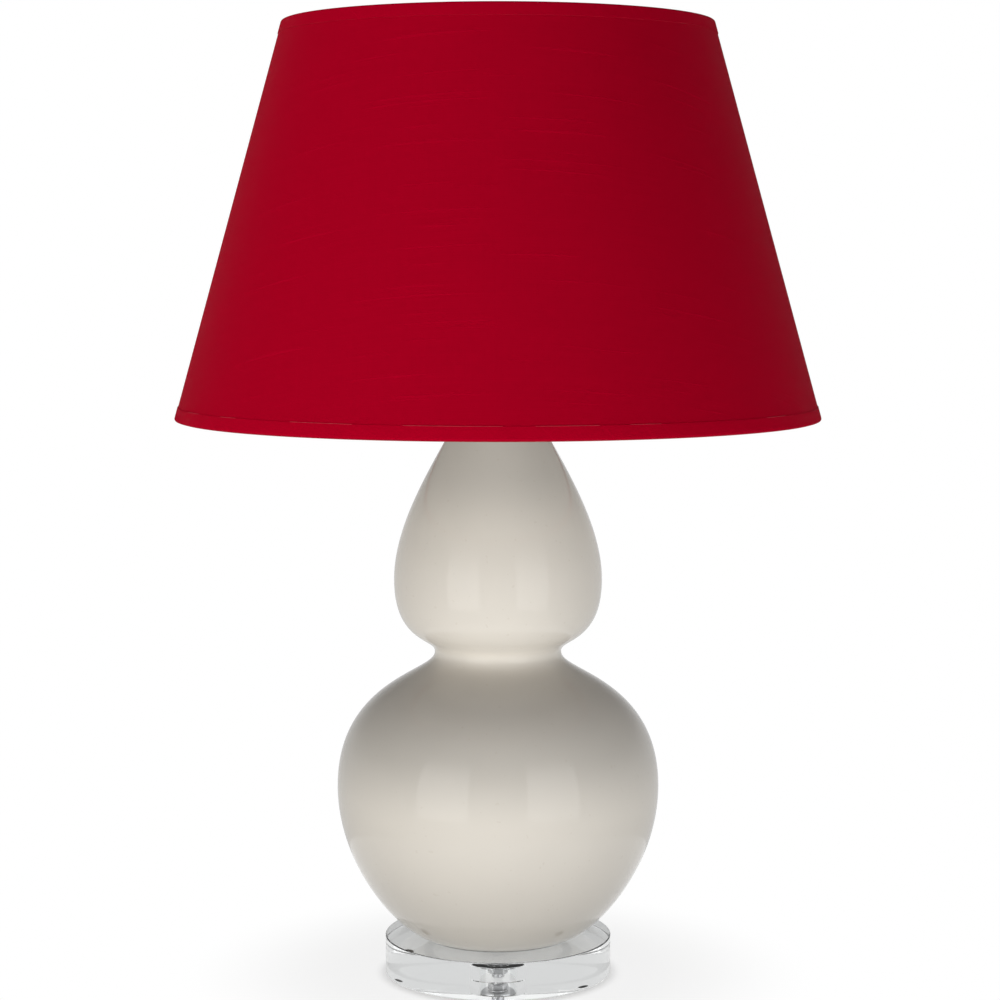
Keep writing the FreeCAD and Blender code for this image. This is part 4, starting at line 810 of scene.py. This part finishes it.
def gourd_outline():
    ring_in = FOOT_R - FOOT_RING
    return (Outline(FLOOR_HOLE_R, FOOT_RECESS)
            .to((ring_in, FOOT_RECESS), (ring_in + 0.6, 0.4), (ring_in + 1.6, 0.0), (FOOT_R - 0.8, 0.0))
            .corner((FOOT_R, 0.0), (FOOT_R + 0.7, 0.4), 3)
            .curve((18.5, 4.1), (0.0, 64.6), (BELLY_R, BELLY_H), 44)
            .curve((0.0, 84.8), (0.0, 19.3), (WAIST_R, WAIST_H), 56)
            .curve((0.0, 12.6), (0.0, 50.8), (CROWN_R, CROWN_H), 44)
            .curve((0.0, 62.5), (0.0, 28.1), (NECK_R, NECK_H), 40)
            .to((NECK_R - WALL, NECK_H))
            .curve((0.0, -28.1), (0.0, -56.0), (CROWN_R - WALL, CROWN_H), 20)
            .curve((0.0, -46.0), (0.0, -15.0), (WAIST_R - WALL, WAIST_H), 20)
            .curve((0.0, -23.0), (0.0, -78.0), (BELLY_R - WALL, BELLY_H), 24)
            .curve((0.0, -59.0), (20.0, 3.0), (FOOT_R - WALL, FLOOR_H + 1.5), 24)
            .to((FOOT_R - WALL - 12.0, FLOOR_H), (FLOOR_HOLE_R, FLOOR_H), (FLOOR_HOLE_R, FOOT_RECESS)))


gourd = turned("gourd", gourd_outline(), FOOT_Z, glaze, 192, Uneven=0.00003, Uneven_Scale=14.0)
dress(gourd, "base", "glaze", *GOURD_NODES)
print("gourd", [round(v, 4) for v in gourd.dimensions])

# %% [markdown]
# ## The shade's cloth
#
# The cover was cut flat as a fan and rolled into a cone, so its threads run straight across the front and
# lean towards the seam at the back. The UV map is that flat fan, in metres. The cone's own slope gives
# the fan's angle.

# %% The flat fan
SHADE_LOW, SHADE_HIGH = (corner.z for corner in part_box("shade_fabric"))
RIM_R, CROWN_RIM_R = 253.5 * MM, 168.2 * MM
SLANT = math.hypot(RIM_R - CROWN_RIM_R, SHADE_HIGH - SHADE_LOW)
SLANT_MM = SLANT / MM
SLOPE, RISE = (RIM_R - CROWN_RIM_R) / SLANT, (SHADE_HIGH - SHADE_LOW) / SLANT
FAN_OUTER, FAN_INNER = RIM_R / SLOPE, CROWN_RIM_R / SLOPE
FRONT, FULL_TURN = math.radians(-90.0), 2.0 * math.pi


def lay_flat(piece):
    """Writes the UV map of the flat fan: the distance from the cone's tip, and the angle in the fan."""
    layer = piece.data.uv_layers.new(name="cut")
    points = piece.data.vertices
    for face in piece.data.polygons:
        middle = math.atan2(face.center.y, face.center.x)
        for loop in face.loop_indices:
            x, y, _ = points[piece.data.loops[loop].vertex_index].co
            angle = math.atan2(y, x)
            angle += FULL_TURN * round((middle - angle) / FULL_TURN)
            from_front = (angle - FRONT + math.pi) % FULL_TURN - math.pi
            middle_from_front = (middle - FRONT + math.pi) % FULL_TURN - math.pi
            if abs(from_front - middle_from_front) > math.pi:
                from_front += FULL_TURN * (1 if middle_from_front > 0 else -1)
            out = math.hypot(x, y) / SLOPE
            layer.data[loop].uv = (out * math.sin(from_front * SLOPE), -out * math.cos(from_front * SLOPE))


fan_angle = math.degrees(FULL_TURN * SLOPE)
print("fan radii", round(FAN_OUTER, 3), round(FAN_INNER, 3), "angle", round(fan_angle, 1))

# %% [markdown]
# The cloth is 0.5 mm thick and the styrene liner 0.8 mm, with a gap of a twentieth of a millimetre for the
# glue. Both are cones with open ends, so each is one turned outline that goes up the outside and down the
# inside.

# %% Cloth and liner
def shade_place(up, inward):
    """Radius, and height above the shade's low edge, of a place up the slant and behind the cloth's face.

    All four are in millimetres.
    """
    return RIM_R / MM - up * SLOPE - inward * RISE, up * RISE - inward * SLOPE


def cone_outline(outer, inner, steps=12):
    up = [SLANT_MM * i / steps for i in range(steps + 1)]
    first = Outline(*shade_place(0.0, outer))
    first.to(*[shade_place(u, outer) for u in up[1:]], *[shade_place(u, inner) for u in reversed(up)])
    return first.to(first.points[0])


CLOTH_THICK = 0.5
LINER = (0.55, 1.35)   # its outer and inner face, behind the cloth's own face
cloth = turned("shade_cloth", cone_outline(0.0, CLOTH_THICK), SHADE_LOW, cotton, 240)
lay_flat(cloth)
dress(cloth, "shade", "cloth", "shade_fabric")
liner = turned("shade_liner_sheet", cone_outline(*LINER), SHADE_LOW, styrene, 240)
dress(liner, "shade", "liner", "shade_liner")
print("cloth", len(cloth.data.polygons), "faces, liner", len(liner.data.polygons))

# %% [markdown]
# The cloth's end is turned under and lapped over its start, up the back, in a strip 12 mm wide. It stops
# at the trims, which go over it. Nothing about a narrow strip is turned or swept, so it is built from
# rings of points, one above the other.

# %% Seam
SEAM_WIDE, SEAM_OUTER, SEAM_INNER, SEAM_PLAY, TRIM_TALL = 12.0 * MM, -0.55, -0.05, 0.05, 9.5


def seam_strip(columns=8, rows=24):
    half = SEAM_WIDE / RIM_R / 2.0
    loop = [(-half + 2.0 * half * i / columns, SEAM_OUTER) for i in range(columns + 1)]
    loop += [(half - 2.0 * half * i / columns, SEAM_INNER) for i in range(columns + 1)]
    low, high = TRIM_TALL + SEAM_PLAY, SLANT_MM - TRIM_TALL - SEAM_PLAY
    work = bmesh.new()
    rings = []
    for row in range(rows + 1):
        ring = []
        for angle, inward in loop:
            radius, height = shade_place(low + (high - low) * row / rows, inward)
            x, y = -radius * MM * math.sin(angle), radius * MM * math.cos(angle)
            ring.append(work.verts.new((x, y, SHADE_LOW + height * MM)))
        rings.append(ring)
    for below, above in zip(rings, rings[1:]):
        for i in range(len(loop)):
            j = (i + 1) % len(loop)
            work.faces.new((below[i], below[j], above[j], above[i]))
    work.faces.new(rings[0])
    work.faces.new(rings[-1])
    piece = in_scene("shade_seam", mesh_from(work, "shade_seam"))
    piece.data.materials.append(cotton)
    face_outward(piece)
    return piece


seam = seam_strip()
lay_flat(seam)
dress(seam, "shade", "cloth", "seam_lap")
print("seam", [round(v, 4) for v in seam.dimensions])

# %% [markdown]
# ## Trims
#
# Each rim has a narrow strip of the same cloth, cut on the bias so that it bends round the curve without
# puckers, folded over the wire ring and glued inside and out. Its outline is the fold itself. The top one
# is snipped where the three spider arms come through it.

# %% Trims
TRIM_CLOTH, RING_R, RING_IN, FOLD_PLAY, GLUE = 0.45, 1.6, 3.15, 0.4, 0.05
BESIDE_THE_EDGE = (0.15, 0.2, 0.6)   # close points that keep the smooth shading off the trim's long face


def trim_outline(at_top):
    """The fold in section: up the outer face, round the wire ring, and up the inner face."""
    def at(up, inward):
        return shade_place(SLANT_MM - up if at_top else up, inward)

    def fold(up, inward, down, across, sense=1, steps=6):
        """A quarter of an ellipse below a place."""
        angles = [math.radians(90.0 * i / steps) for i in range(steps + 1)]
        return [at(up - down * math.cos(a), inward + sense * across * math.sin(a)) for a in angles]

    under, over = RING_R + FOLD_PLAY, RING_R + FOLD_PLAY + TRIM_CLOTH
    lap, bend = LINER[1] + GLUE, FOLD_PLAY + TRIM_CLOTH
    outline = Outline(*at(TRIM_TALL, -GLUE)).to(at(TRIM_TALL - 0.02, -GLUE - TRIM_CLOTH * 0.8))
    outline.to(*[at(TRIM_TALL - step, -GLUE - TRIM_CLOTH) for step in BESIDE_THE_EDGE])
    outline.to(*fold(bend, bend, 2 * bend, bend + GLUE + TRIM_CLOTH, -1)[::-1])
    outline.to(*fold(RING_R, RING_IN, over, over))
    outline.to(at(2 * RING_R, RING_IN + over), at(TRIM_TALL, lap + TRIM_CLOTH), at(TRIM_TALL, lap))
    outline.to(at(2 * RING_R, RING_IN + under), *fold(RING_R, RING_IN, under, under)[::-1])
    return outline.to(at(-FOLD_PLAY, -GLUE), outline.points[0])


def hem_piece(name, at_top):
    return turned(name, trim_outline(at_top), SHADE_LOW, cotton_bias, 240)


bottom_hem = hem_piece("bottom_hem", False)
lay_flat(bottom_hem)
dress(bottom_hem, "shade", "cloth", "bottom_trim")
print("bottom hem", len(bottom_hem.data.polygons), "faces")

# %% [markdown]
# ## Bent wire
#
# The rings, the spider and the harp are bent wire. The path is a chain of points with an arc at each
# bend, and a second tree sweeps a round section along it.

# %% The wire tree
def wire_tree():
    """A round wire along a chain. It breaks where a noise is below Broken, in patches set by Patch."""
    g, given = new_tree("wire", [
        ("Radius", "NodeSocketFloat", 0.001), ("Sides", "NodeSocketInt", 20),
        ("Broken", "NodeSocketFloat", 0.0), ("Patch", "NodeSocketFloat", 20.0),
        ("Finish", "NodeSocketMaterial", None)])
    place = g.node("GeometryNodeInputPosition", {})
    patch = g.node("ShaderNodeTexNoise", {}, Vector=place, Scale=given["Patch"], Detail=2.0)
    kept = g.node("GeometryNodeDeleteGeometry", {"domain": "POINT"}, given["Geometry"],
                  patch.math("LESS_THAN", given["Broken"]))
    path = g.node("GeometryNodeMeshToCurve", {}, kept)
    section = g.node("GeometryNodeCurvePrimitiveCircle", {"mode": "RADIUS"}, Resolution=given["Sides"],
                     Radius=given["Radius"])
    swept = g.tree.nodes.new("GeometryNodeCurveToMesh")
    g.tree.links.new(path.socket, swept.inputs["Curve"])
    g.tree.links.new(section.socket, swept.inputs["Profile Curve"])
    swept.inputs["Fill Caps"].default_value = True
    return end_tree(g, Link(g, swept.outputs[0]), given["Finish"])


wire = wire_tree()
print("wire tree:", [s.name for s in wire.interface.items_tree])

# %% [markdown]
# A wire is bent round a former, so each of its corners is an arc of one radius that meets both straight
# runs smoothly. The arc is worked out in the plane of its two runs.

# %% Bent paths
def bent_path(corners, bends, steps=10):
    """Points along straight runs, with an arc of the given radius at each inner corner."""
    corners = [Vector(c) for c in corners]
    points = [corners[0]]
    for before, corner, after, bend in zip(corners, corners[1:], corners[2:], bends):
        into, out = (corner - before).normalized(), (after - corner).normalized()
        turn = into.angle(out)
        inward = (out - into * into.dot(out)).normalized()
        start = corner - into * bend * math.tan(turn / 2.0)
        for i in range(steps + 1):
            a = turn * i / steps
            points.append(start + into * bend * math.sin(a) + inward * bend * (1.0 - math.cos(a)))
    return points + [corners[-1]]


def wire_piece(name, points, radius, finish, sides=20, closed=False, **values):
    """A wire of one radius along a path."""
    path = chain(name, points, closed)
    return run_tree(name, path, wire, Radius=radius, Sides=sides, Finish=finish, **values)


right_angle = bent_path([(0.0, 0.0, 0.0), (1.0, 0.0, 0.0), (1.0, 0.0, 1.0)], [0.5])
print("a right angle bent on a former has", len(right_angle), "points")

# %% [markdown]
# The shade hangs on a white coated wire frame. Two rings lie inside the rims. The spider's three arms run
# level from the hub, which stands on the stud, and rise to the top ring. One path serves all three, turned
# by a third of a circle each time.

# %% Shade frame
ARM_R, ARM_NOTCH, ARMS, FIRST_ARM = 1.6, 0.4, 3, 90.0
HUB_R, ARM_BEND_IN, ARM_BEND, NOTCH_PAST = 12.0, 26.0, 14.0, 1.0


def level_ring(up, inward, count=180):
    """Points round the shade, at a place on its slant."""
    radius, height = shade_place(up, inward)
    turns = [FULL_TURN * i / count for i in range(count)]
    return [(radius * MM * math.cos(a), radius * MM * math.sin(a), SHADE_LOW + height * MM) for a in turns]


def ring_piece(name, up):
    return wire_piece(name, level_ring(up, RING_IN), RING_R * MM, white_wire, closed=True)


def arm_path(n, past_end):
    """The path of one arm, from the hub to the top ring, or past it for a notch."""
    hub_mid = (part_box("spider_hub")[0].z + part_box("spider_hub")[1].z) / 2.0
    radius, height = shade_place(SLANT_MM - RING_R, RING_IN)
    bend = Vector(((radius - ARM_BEND_IN) * MM, 0.0, hub_mid))
    top = Vector((radius * MM, 0.0, SHADE_LOW + height * MM))
    end = top - (top - bend).normalized() * (RING_R + GLUE - past_end) * MM
    turn = Matrix.Rotation(math.radians(FIRST_ARM + 360.0 * n / ARMS), 3, "Z")
    return [turn @ p for p in bent_path([((HUB_R + GLUE) * MM, 0.0, hub_mid), bend, end], [ARM_BEND * MM])]


dress(ring_piece("bottom_wire_ring", RING_R), "shade", "frame_wire", "bottom_ring")
dress(ring_piece("top_wire_ring", SLANT_MM - RING_R), "shade", "frame_wire", "top_ring")
first_arm = arm_path(0, 0.0)
arm_long = sum((b - a).length for a, b in zip(first_arm, first_arm[1:]))
print("one arm is", round(arm_long, 4), "m long")

# %% [markdown]
# Three wires welded together are one mesh, and a boolean takes one shape out of another. Both need a small
# helper that keeps the result as a plain mesh, because the frame takes finished meshes only.

# %% Join and cut
def joined(name, pieces):
    """One object from several, in one mesh."""
    work = bmesh.new()
    for piece in pieces:
        work.from_mesh(piece.data)
    made = in_scene(name, mesh_from(work, name))
    made.data.materials.append(pieces[0].data.materials[0])
    for piece in pieces:
        bpy.data.objects.remove(piece)
    face_outward(made)
    return made


def keep_result(piece):
    """Gives a piece the mesh that its modifiers make, and takes them off."""
    bpy.context.view_layer.update()
    evaluated = piece.evaluated_get(bpy.context.evaluated_depsgraph_get())
    piece.data = bpy.data.meshes.new_from_object(evaluated)
    piece.modifiers.clear()


def cut_away(piece, cutter):
    """Takes the cutter out of the piece, and leaves a plain mesh."""
    boolean = piece.modifiers.new("cut", "BOOLEAN")
    boolean.operation, boolean.solver, boolean.object = "DIFFERENCE", "EXACT", cutter
    keep_result(piece)
    bpy.data.objects.remove(cutter)
    face_outward(piece)
    return piece


arms = joined("spider_wires", [
    wire_piece("arm", arm_path(n, 0.0), ARM_R * MM, white_wire) for n in range(ARMS)])
dress(arms, "shade", "frame_wire", "spider_arms")
print("spider", len(arms.data.polygons), "faces")

# %% [markdown]
# The folded trim of the top rim is notched where each arm comes through: a thicker copy of the arm, which
# goes on past its end, is cut out of the trim, as scissors would do.

# %% Top trim
notches = joined("notches", [
    wire_piece("notch", arm_path(n, ARM_R + NOTCH_PAST), (ARM_R + ARM_NOTCH) * MM, white_wire)
    for n in range(ARMS)])
top_hem = cut_away(hem_piece("top_hem", True), notches)
lay_flat(top_hem)
dress(top_hem, "shade", "cloth", "top_trim")
print("top hem", len(top_hem.data.polygons), "faces")

# %% [markdown]
# The lower trim's upper edge is a fold with a fine thread along it, broken in places. Its pale colour is
# a painted highlight where the fold's edge catches light. It is the wire tree with points dropped where
# a noise is low.

# %% Edge thread
EDGE_R, EDGE_POINTS, EDGE_BROKEN, EDGE_PATCH = 0.10, 900, 0.52, 22.0

edge_path = level_ring(TRIM_TALL - 0.05, -GLUE - TRIM_CLOTH, EDGE_POINTS)
edge_thread = wire_piece("trim_edge_thread", edge_path, EDGE_R * MM, pale_thread, sides=6, closed=True,
                         Broken=EDGE_BROKEN, Patch=EDGE_PATCH)
dress(edge_thread, "shade", "cloth")
print("edge thread", len(edge_thread.data.polygons), "faces")

# %% [markdown]
# The cloth's cut size is the fan's own: its width across the ends, its length down the middle, and the
# area between its two arcs. It is glued flat on the liner all over, so it is held stretched and doesn't
# hang. The trims and the seam are pieces of the same sheet.

HALF_FAN = math.pi * SLOPE
CUT_WIDE = 2.0 * FAN_OUTER * math.sin(HALF_FAN)
CUT_LONG = FAN_OUTER - FAN_INNER * math.cos(HALF_FAN)
CUT_AREA = HALF_FAN * (FAN_OUTER ** 2 - FAN_INNER ** 2)
print("cut", round(CUT_WIDE, 3), "by", round(CUT_LONG, 3), "m, area", round(CUT_AREA, 4), "m2")

# %% [markdown]
# ## Finial, saucer and hub
#
# The finial is a polished ball on a cove, screwed on the stud above the shade's hub. It and the saucer
# under the hub are turned, and both show from above.

# %% Finial
FOOT_WIDE, FOOT_THICK, FOOT_EDGE = 7.2, 1.6, 0.4
BALL_R, COVE_R, COVE_H, TIP_R, TIP_H = 8.2, 4.9, 5.0, 2.6, 2.2
STUD_HOLE, STUD_DEEP = 3.4, 12.4


def finial_outline():
    """A foot with rounded edges, a cove, a ball and a small tip, with the stud's blind hole inside."""
    wide, e = FOOT_WIDE, FOOT_EDGE
    ball_z = COVE_H + math.sqrt(BALL_R ** 2 - COVE_R ** 2)
    leaves = math.degrees(math.asin((COVE_H - ball_z) / BALL_R))
    meets = math.degrees(math.acos(TIP_R / BALL_R))
    tip_z = ball_z + BALL_R * math.sin(math.radians(meets))
    return (Outline(STUD_HOLE, STUD_DEEP).to((STUD_HOLE, 0.15), (STUD_HOLE + 0.15, 0.0))
            .to((wide - e, 0.0)).corner((wide, 0.0), (wide, e))
            .to((wide, FOOT_THICK - e)).corner((wide, FOOT_THICK), (wide - e, FOOT_THICK))
            .curve((-1.6, 0.0), (0.0, 1.6), (COVE_R, COVE_H), 10)
            .swing((0.0, ball_z), BALL_R, leaves, meets, 30)
            .curve((0.0, 1.2), (-1.4, 0.0), (0.0, tip_z + TIP_H), 10)
            .to((0.0, STUD_DEEP), (STUD_HOLE, STUD_DEEP)))


finial = turned("polished_finial", finial_outline(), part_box("finial")[0].z, nickel, 96)
dress(finial, "finial", "nickel", "finial")
print("finial", [round(v, 4) for v in finial.dimensions])

# %% [markdown]
# The hub is the spider's flat ring and the saucer is the plate that it stands on. Both would be punched
# from sheet and tumbled until their edges are round, so one outline of a washer serves both.

# %% Saucer and hub
def washer_outline(inside, outside, thick, edge):
    """A flat washer with a rounded outer edge."""
    return (Outline(inside, 0.0).to((outside - edge, 0.0)).corner((outside, 0.0), (outside, edge), 5)
            .to((outside, thick - edge)).corner((outside, thick), (outside - edge, thick), 5)
            .to((inside, thick), (inside, 0.0)))


HUB_PLATE = {"inside": 3.9, "outside": HUB_R, "thick": 1.5, "edge": 0.35}
SAUCER_PLATE = {"inside": 3.15, "outside": 11.0, "thick": 1.2, "edge": 0.5}
hub_low, saucer_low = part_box("spider_hub")[0].z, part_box("harp_saucer")[0].z
hub = turned("shade_hub", washer_outline(**HUB_PLATE), hub_low, white_wire)
saucer = turned("stud_saucer", washer_outline(**SAUCER_PLATE), saucer_low, nickel)
dress(hub, "shade", "frame_wire", "spider_hub")
dress(saucer, "stud", "nickel", "harp_saucer")
print("hub at", round(hub_low, 4), "m, saucer at", round(saucer_low, 4), "m")

# %% [markdown]
# ## Bulb
#
# A frosted globe bulb. Its glass is a thin blown shell and its cap is rolled sheet with a true screw
# thread. The turning tree's thread inputs make the helix on the finished outline, so no second way of
# modelling is needed. At rest the thread is hidden in the socket's shell, and it shows when the bulb is
# out.

# %% Bulb
BULB_NECK_R, BULB_R, BULB_LONG, GLASS = 13.2, 30.15, 84.0, 0.8
THREAD_R, THREAD_DEEP, THREAD_FROM, PITCH, TURNS = 13.05, 0.85, 0.8, 3.63, 5


def bulb_outline():
    middle = BULB_LONG - BULB_R
    return (Outline(BULB_NECK_R, 0.0).curve((0.0, 20.0), (0.0, 24.0), (BULB_R, middle), 24)
            .swing((0.0, middle), BULB_R, 3.0, 90.0, 30)
            .swing((0.0, middle), BULB_R - GLASS, 90.0, 0.0, 16)
            .curve((0.0, -24.0), (0.0, -20.0), (BULB_NECK_R - GLASS, 0.0), 12)
            .to((BULB_NECK_R, 0.0)))


def bulb_cap_outline():
    root, high = THREAD_R - THREAD_DEEP, THREAD_FROM + TURNS * PITCH
    rows = 12 * TURNS
    side = [(root, THREAD_FROM + TURNS * PITCH * i / rows) for i in range(rows + 1)]
    return (Outline(root - 1.6, 0.0).to(*side).curve((0.5, 0.3), (0.0, 0.8), (THREAD_R, high + 2.5), 5)
            .to((THREAD_R, high + 4.3)).corner((THREAD_R, high + 4.5), (THREAD_R - 0.2, high + 4.5), 2)
            .to((root - 0.4, high + 4.5), (root - 0.4, 1.2), (root - 1.6, 0.4), (root - 1.6, 0.0)))


globe = turned("frosted_globe", bulb_outline(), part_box("bulb_glass")[0].z, frosted, 96)
dress(globe, "bulb", "bulb_white", "bulb_glass")
cap_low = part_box("bulb_screw_cap")[0].z
threaded = turned("threaded_bulb_cap", bulb_cap_outline(), cap_low, tin_cap, 64,
                  Pitch=PITCH * MM, Thread=THREAD_DEEP * MM,
                  Thread_Low=cap_low + THREAD_FROM * MM,
                  Thread_High=cap_low + (THREAD_FROM + TURNS * PITCH) * MM,
                  Thread_Inside=(THREAD_R - THREAD_DEEP - 0.1) * MM)
dress(threaded, "bulb", "cap_metal", "bulb_screw_cap")
print("bulb", round(globe.dimensions.z, 4), "m long, its cap", round(threaded.dimensions.z, 4), "m")

# %% [markdown]
# ## Switch knob
#
# A small black knob with twelve flutes for the fingers. The ribs input of the turning tree flutes it, and
# the finished mesh is laid along the switch's axis, towards the front.

# %% Knob
KNOB_R, KNOB_LONG, FLUTES, FLUTE_DEEP = 7.0, 10.0, 12, 0.28


def knob_outline():
    side = [(KNOB_R - FLUTE_DEEP, 2.0 + 6.7 * i / 6) for i in range(7)]
    return (Outline(2.05, 0.0).to((4.2, 0.0)).to(*side)
            .corner((KNOB_R - FLUTE_DEEP, KNOB_LONG), (KNOB_R - 1.7, KNOB_LONG), 5)
            .curve((-2.0, 0.0), (-2.0, 0.0), (0.0, KNOB_LONG - 0.25), 6)
            .to((0.0, 8.0), (2.05, 8.0), (2.05, 0.0)))


def laid_to_front(piece, inner_face, axis_z):
    """Turns a piece from the Z axis to the -Y axis, about the switch's shaft."""
    quarter = Matrix.Rotation(math.radians(90.0), 4, "X")
    piece.data.transform(Matrix.Translation((0.0, inner_face, axis_z)) @ quarter)
    return piece


knob_low, knob_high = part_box("switch_knob")
knob = turned("fluted_knob", knob_outline(), 0.0, black_plastic, 96,
              Ribs=FLUTES, Rib_Depth=FLUTE_DEEP * MM)
laid_to_front(knob, knob_high.y, (knob_low.z + knob_high.z) / 2.0)
dress(knob, "switch", "socket_black", "switch_knob")
print("knob", [round(v, 4) for v in knob.dimensions])

# %% [markdown]
# ## Small fittings
#
# The frame's own small parts have the right shape, but their meshes are faceted and their edges are razor
# sharp. A copy of each is merged and its flat facets are joined. The nuts, washers, saddle and pads also
# get a fine bevel that catches light. Its width is in the table below, in millimetres, and 0 stands for
# none.

# %% Softened copies
SOFTENED = {"base_nut": 0.25, "base_washer": 0.2, "base_lock_washer": 0.12, "top_nut": 0.25,
            "top_lock_washer": 0.12, "vase_cap": 0.0, "neck_spacer": 0.0, "check_ring": 0.0,
            "harp_saddle": 0.2, "harp_wire": 0.0, "harp_sleeve_left": 0.0, "harp_sleeve_right": 0.0,
            "harp_stud": 0.0, "socket_cap": 0.0, "socket_shell": 0.0, "screw_shell": 0.0, "cord_bush": 0.0,
            "foot_pads": 0.3}
FACET, BEVELLED = math.radians(0.4), math.radians(35.0)   # flatter is joined, sharper is bevelled


def softened(name, bevel):
    """A clean copy of a frame node's mesh, with a bevel of a width in millimetres."""
    source = node[name]
    work = bmesh.new()
    work.from_mesh(source.data)
    bmesh.ops.remove_doubles(work, verts=work.verts, dist=1e-6)
    bmesh.ops.dissolve_limit(work, angle_limit=FACET, verts=work.verts, edges=work.edges)
    piece = in_scene(name + "_soft", mesh_from(work, name + "_soft"))
    if bevel:
        edge = piece.modifiers.new("edge", "BEVEL")
        edge.width, edge.segments = bevel * MM, 2
        edge.limit_method, edge.angle_limit = "ANGLE", BEVELLED
        keep_result(piece)
    piece.data.shade_smooth()
    piece.data.set_sharp_from_angle(angle=SHARP)
    return piece


print(len(SOFTENED), "nodes to soften,", sum(width > 0.0 for width in SOFTENED.values()), "with a bevel")

# %% [markdown]
# The record names a slot for each node, and the table below gives each slot its finish. A node that is to
# be softened gets its copy here, tied to the same body and slot. The nodes that were made again above
# aren't shown.

# %% Finishes on the frame's own pieces
finishes = {"bumper": bumper, "gasket": gasket, "nickel": nickel, "steel": zinc, "brass": brass,
            "socket_black": black_plastic, "fibre": fibre, "bush": ivory_plastic, "bulb_white": frosted,
            "bulb_glass_dark": black_glass, "cap_metal": tin_cap, "cloth": cotton, "liner": styrene,
            "frame_wire": white_wire, "glaze": glaze, "acrylic": acrylic}
body_of = {name: body for body, held in frame["record"]["behaviour"]["bodies"].items() for name in held}
for part in frame["record"]["subparts"]:
    name, slot_name = part["node"], part["material_slot"]
    for slot in node[name].material_slots:
        slot.material = finishes[slot_name]
    if name in SOFTENED:
        piece = softened(name, SOFTENED[name])
        piece.data.materials.clear()
        piece.data.materials.append(finishes[slot_name])
        dress(piece, body_of[name], slot_name, name)

# %% [markdown]
# The shade was lit apart from the body in the photograph: its left side is clearly brighter than its
# right, and the gourd's isn't. The two soft boxes that stand high, a strong one at the left and a weak
# one at the right, shine on the shade's cloth alone.

# %% Link the shade's own light
shade_cloths = bpy.data.collections.new("shade_cloths")
for piece in (cloth, bottom_hem, top_hem, seam, edge_thread):
    shade_cloths.objects.link(piece)
for box in shade_boxes:
    box.light_linking.receiver_collection = shade_cloths

# %% [markdown]
